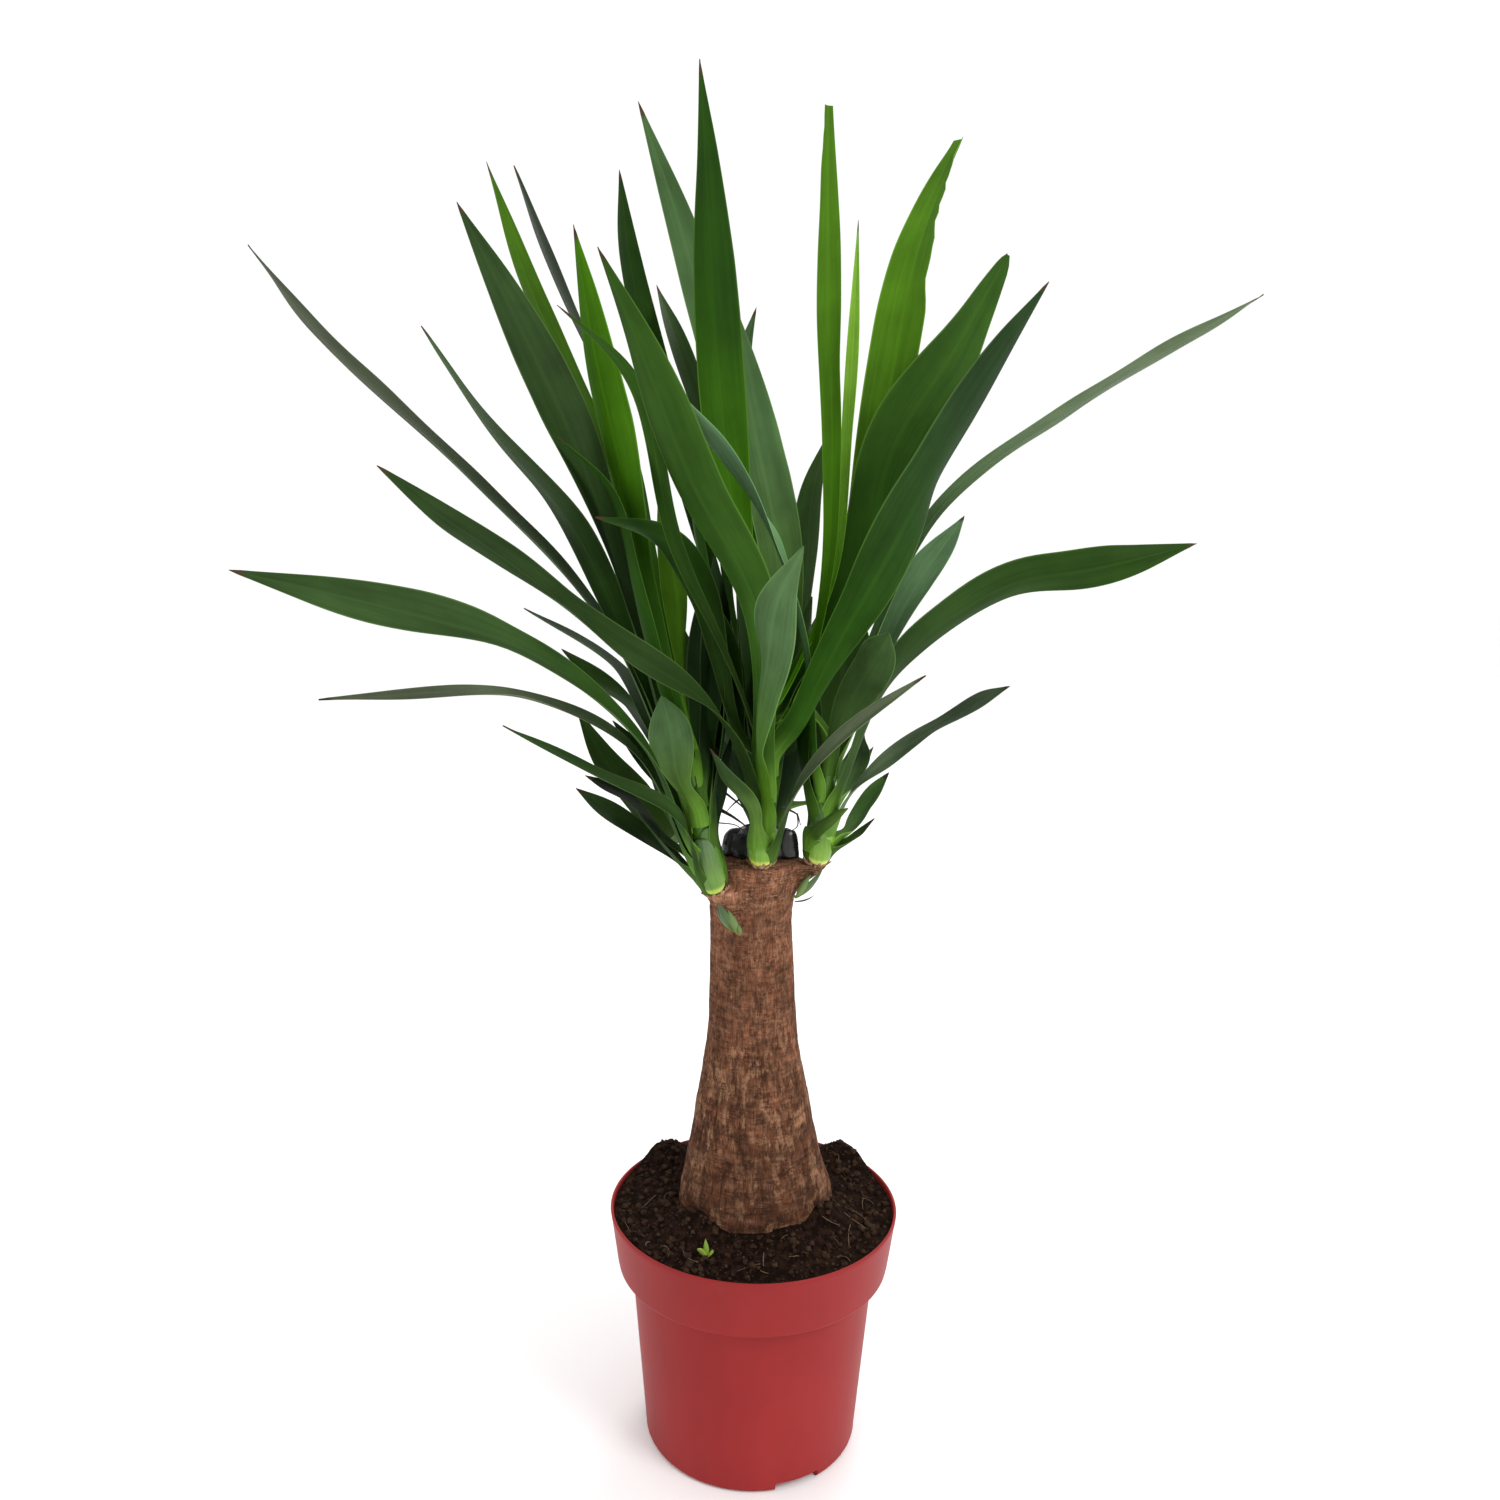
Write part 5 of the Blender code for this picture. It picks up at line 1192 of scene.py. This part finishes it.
def make_frills():
    """Torn bark and dry scales round the foot of each shoot."""
    parts = []
    rng = np.random.default_rng(7)
    for key in ("left", "centre", "right", "back"):
        pts, u, length = shoot_line(key)
        c, d = pts[0], unit(pts[4] - pts[0])
        side = unit(np.cross(d, np.array([0.0, 1.0, 0.0])))
        up = np.cross(side, d)
        for i in range(22):
            a = math.tau * (i + rng.uniform(-0.3, 0.3)) / 22
            o = side * math.cos(a) + up * math.sin(a)
            root = c + o * (4.6 + rng.uniform(-0.3, 0.6)) - d * rng.uniform(0.5, 2.0)
            tall = rng.uniform(1.6, 4.6)
            tip = c + o * (7.2 + rng.uniform(0.0, 1.6)) + d * tall
            v, f, q, t = bud_leaf(root, tip, rng.uniform(1.6, 3.4), o * 0.9 + d * 0.1, (0.3, 0.2, 0.1), i, 0.45, 7, 5, 0.6)
            parts.append((v, f))
    v, f = gather(parts)
    mesh_piece("torn_bark", v, f, FIBRE_BARK, None)


# inner leaves, small and half hidden between the shoots: same kind of row as LEAVES, with its look; their near-black
# tones are painted shade deep in the crown
INNER = {
    "inner_leaf_01": (("left", 60, 330, ((-27, 4, 440), (-23, 14, 490), (-27, 24, 528)), 26, (0, -10, -15)), ("slate", "slate", .4, .0)),
    "inner_leaf_02": (("centre", 34, 190, ((-13, -4, 425), (-20, 4, 466), (-28, 10, 505)), 36, (0, 10, 15)), ("slate", "deep", .4, .0)),
    "inner_leaf_03": (("centre", 40, 350, ((14, 4, 425), (22, 13, 462), (28, 22, 505)), 32, (0, -10, -20)), ("deep", "dark", .4, .0)),
    "inner_leaf_04": (("right", 46, 170, ((29, 14, 420), (24, 24, 452), (20, 36, 488)), 32, (0, 0, 0)), ("deep", "forest", .4, .0)),
    "inner_leaf_05": (("right", 40, 100, ((43, 16, 425), (47, 28, 468), (49, 44, 512)), 32, (0, 0, 0)), ("deep", "dark", .4, .0)),
    "inner_leaf_06": (("left", 26, 70, ((-36, -6, 400), (-41, 10, 440), (-46, 30, 488)), 32, (0, 0, 0)), ("deep", "dark", .4, .0)),
    "inner_leaf_07": (("back", 46, 100, ((3, 64, 425), (2, 78, 462), (5, 96, 505)), 24, (0, 0, 0)), ("deep", "dark", .4, .0)),
    "inner_leaf_08": (("left", 7, 195, ((-42, -22, 358), (-55, -16, 371), (-70, -2, 387)), 19, (0, -10, -20)), ("dark", "deep", .4, .0)),
    "inner_leaf_09": (("left", 12, 165, ((-41, -20, 368), (-50, -4, 383), (-63, 18, 405)), 20, (0, 0, 0)), ("deep", "dark", .4, .0)),
    "inner_leaf_10": (("centre", 50, 165, ((-8, -8, 440), (-12, 4, 480), (-15, 18, 525)), 34, (0, 0, 0)), ("deep", "deep", .4, .0)),
    "inner_leaf_11": (("right", 30, 130, ((33, 12, 405), (33, 30, 442), (34, 52, 480)), 32, (0, 0, 0)), ("slate", "dark", .4, .0)),
    "inner_leaf_12": (("left", 46, 40, ((-30, -10, 425), (-28, 6, 465), (-34, 24, 510)), 34, (0, 0, 0)), ("deep", "slate", .4, .0)),
    "inner_leaf_13": (("back", 30, 200, ((-8, 44, 410), (-20, 52, 444), (-36, 60, 480)), 34, (0, 0, 0)), ("deep", "dark", .4, .0)),
    "inner_leaf_14": (("back", 30, 340, ((18, 46, 410), (26, 58, 448), (34, 70, 490)), 34, (0, 0, 0)), ("deep", "dark", .4, .0)),
    "inner_leaf_15": (("left", 34, 10, ((-25, -22, 403), (-20, -10, 436), (-19, 4, 480)), 38, (0, 0, 0)), ("slate", "deep", .4, .0)),
    "inner_leaf_16": (("back", 36, 225, ((-8, 36, 402), (-19, 34, 432), (-25, 36, 475)), 38, (0, 0, 0)), ("deep", "slate", .4, .0)),
    "inner_leaf_17": (("back", 36, 315, ((17, 36, 402), (24, 34, 432), (27, 36, 475)), 38, (0, 0, 0)), ("deep", "slate", .4, .0)),
    "inner_leaf_18": (("right", 30, 190, ((25, -10, 398), (20, -2, 430), (17, 8, 470)), 32, (0, 0, 0)), ("deep", "deep", .4, .0)),
    "inner_leaf_19": (("left", 14, 345, ((-24, -16, 378), (-19, -4, 398), (-16, 8, 428)), 24, (0, 0, 0)), ("deep", "slate", .4, .0)),
    "inner_leaf_20": (("right", 8, 205, ((32, -7, 374), (28, 2, 394), (26, 12, 424)), 20, (0, 0, 0)), ("deep", "slate", .4, .0)),
    "inner_leaf_21": (("left", 20, 160, ((-47, -12, 394), (-63, 2, 411), (-84, 16, 434)), 15, (-20, -20, -20)), ("dark", "deep", .4, .0)),
    "inner_leaf_22": (("back", 14, 235, ((-6, 34, 382), (-13, 37, 402), (-17, 42, 436)), 26, (0, 0, 0)), ("slate", "slate", .4, .0)),
    "inner_leaf_23": (("back", 14, 315, ((16, 34, 382), (22, 36, 402), (26, 42, 436)), 24, (0, 0, 0)), ("slate", "slate", .4, .0)),
    "inner_leaf_24": (("back", 50, 205, ((-20, 50, 440), (-32, 54, 500), (-46, 62, 585)), 16, (0, 0, 0)), ("deep", "forest", .4, .0)),
    "inner_leaf_25": (("centre", 40, 170, ((-9, 20, 425), (-13, 30, 480), (-17, 38, 560)), 26, (0, 0, 0)), ("deep", "deep", .4, .0)),
}


def make_dry_bits():
    parts = []
    for pts, r in (
        (((-20, -1, 397), (-12, -3, 391), (-5, -6, 385)), 0.75),
        (((-10, 0, 394), (-15, -1, 390), (-19, -4, 386)), 0.65),
        (((-24, -2, 388), (-15, -6, 384), (-7, -9, 379)), 1.25),
        (((-23, -8, 381), (-13, -10, 380), (-7, -12, 375), (-6, -13, 370)), 0.40),
        (((12, -6, 390), (17, -6, 388), (21, -4, 385), (23, -4, 379)), 0.85),
        (((21, -4, 386), (21, -6, 379), (16, -8, 376)), 0.55),
        (((-20, -16, 366), (-18, -17, 371), (-16, -18, 377)), 0.35),
    ):
        p = smooth_curve([np.array(q, float) for q in pts], np.array(pts[1], float) - np.array(pts[0], float), 8)
        rad = r * (1 - 0.75 * np.linspace(0, 1, len(p)))
        parts.append(tube(p, rad, 7))
    v, f = gather(parts)
    mesh_piece("dry_strands", v, f, DRY, None)


FIBRE_BARK = simple_material("torn_fibre", (0.17, 0.080, 0.045), (0.46, 0.27, 0.15), 420.0, (0.7, 0.9))


# ------------------------------------------------------------------ build
make_pot()
make_soil()
make_soil_litter()
make_cane()
make_wax()
for key in SHOOTS:
    make_shoot(key)
for number, (leaf_name, leaf_row) in enumerate(LEAVES.items()):
    long = float(np.linalg.norm(np.array(leaf_row[3][-1], float) - np.array(leaf_row[3][0], float))) > 90
    leaf_piece(leaf_name, leaf_row, LEAF_LOOK[leaf_name], number, 64 if long else 34, 15)
for number, (leaf_name, (leaf_row, look)) in enumerate(INNER.items()):
    leaf_piece(leaf_name, leaf_row, look, 100 + number, 34, 13)
make_buds()
make_frills()
make_dry_bits()

# ------------------------------------------------------------------ floor, light, camera
bm = bmesh.new()
bmesh.ops.create_grid(bm, x_segments=1, y_segments=1, size=6.0)
me = bpy.data.meshes.new("floor")
bm.to_mesh(me)
bm.free()
floor = bpy.data.objects.new("floor", me)
bpy.context.scene.collection.objects.link(floor)
fm = bpy.data.materials.new("floor")
fm.use_nodes = True
fm.node_tree.nodes["Principled BSDF"].inputs["Base Color"].default_value = (0.97, 0.97, 0.97, 1)
fm.node_tree.nodes["Principled BSDF"].inputs["Roughness"].default_value = 0.9
me.materials.append(fm)

scene = bpy.context.scene
scene.view_settings.view_transform = "Standard"
world = bpy.data.worlds.new("studio") if scene.world is None else scene.world
scene.world = world
world.use_nodes = True
bg = world.node_tree.nodes.get("Background")
bg.inputs["Color"].default_value = (1.0, 1.0, 1.0, 1)
bg.inputs["Strength"].default_value = 1.04


def area(name, place, target, size, power, colour=(1, 1, 1)):
    data = bpy.data.lights.new(name, "AREA")
    data.shape, data.size, data.energy, data.color = "DISK", size, power, colour
    o = bpy.data.objects.new(name, data)
    scene.collection.objects.link(o)
    o.location = place
    o.rotation_mode = "QUATERNION"
    o.rotation_quaternion = (Vector(target) - Vector(place)).to_track_quat("-Z", "Y")
    return o


area("key", (1.25, -1.15, 1.75), (0, 0, 0.35), 0.9, 20.0)
area("back", (0.5, 1.5, 1.9), (0, 0, 0.45), 1.0, 12.0)

cam_data = bpy.data.cameras.new("camera")
cam_data.sensor_width = 36.0
cam_data.lens = 31.2
cam_data.shift_x = 0.0140
cam_data.clip_start, cam_data.clip_end = 0.01, 50.0
cam = bpy.data.objects.new("camera", cam_data)
scene.collection.objects.link(cam)
cam.matrix_world = (Matrix.Translation((-0.0177, -0.7120, 0.5599)) @ Matrix.Rotation(math.radians(90 - 11.05), 4, "X")
                    @ Matrix.Rotation(0.01175, 4, "Z"))
scene.camera = cam
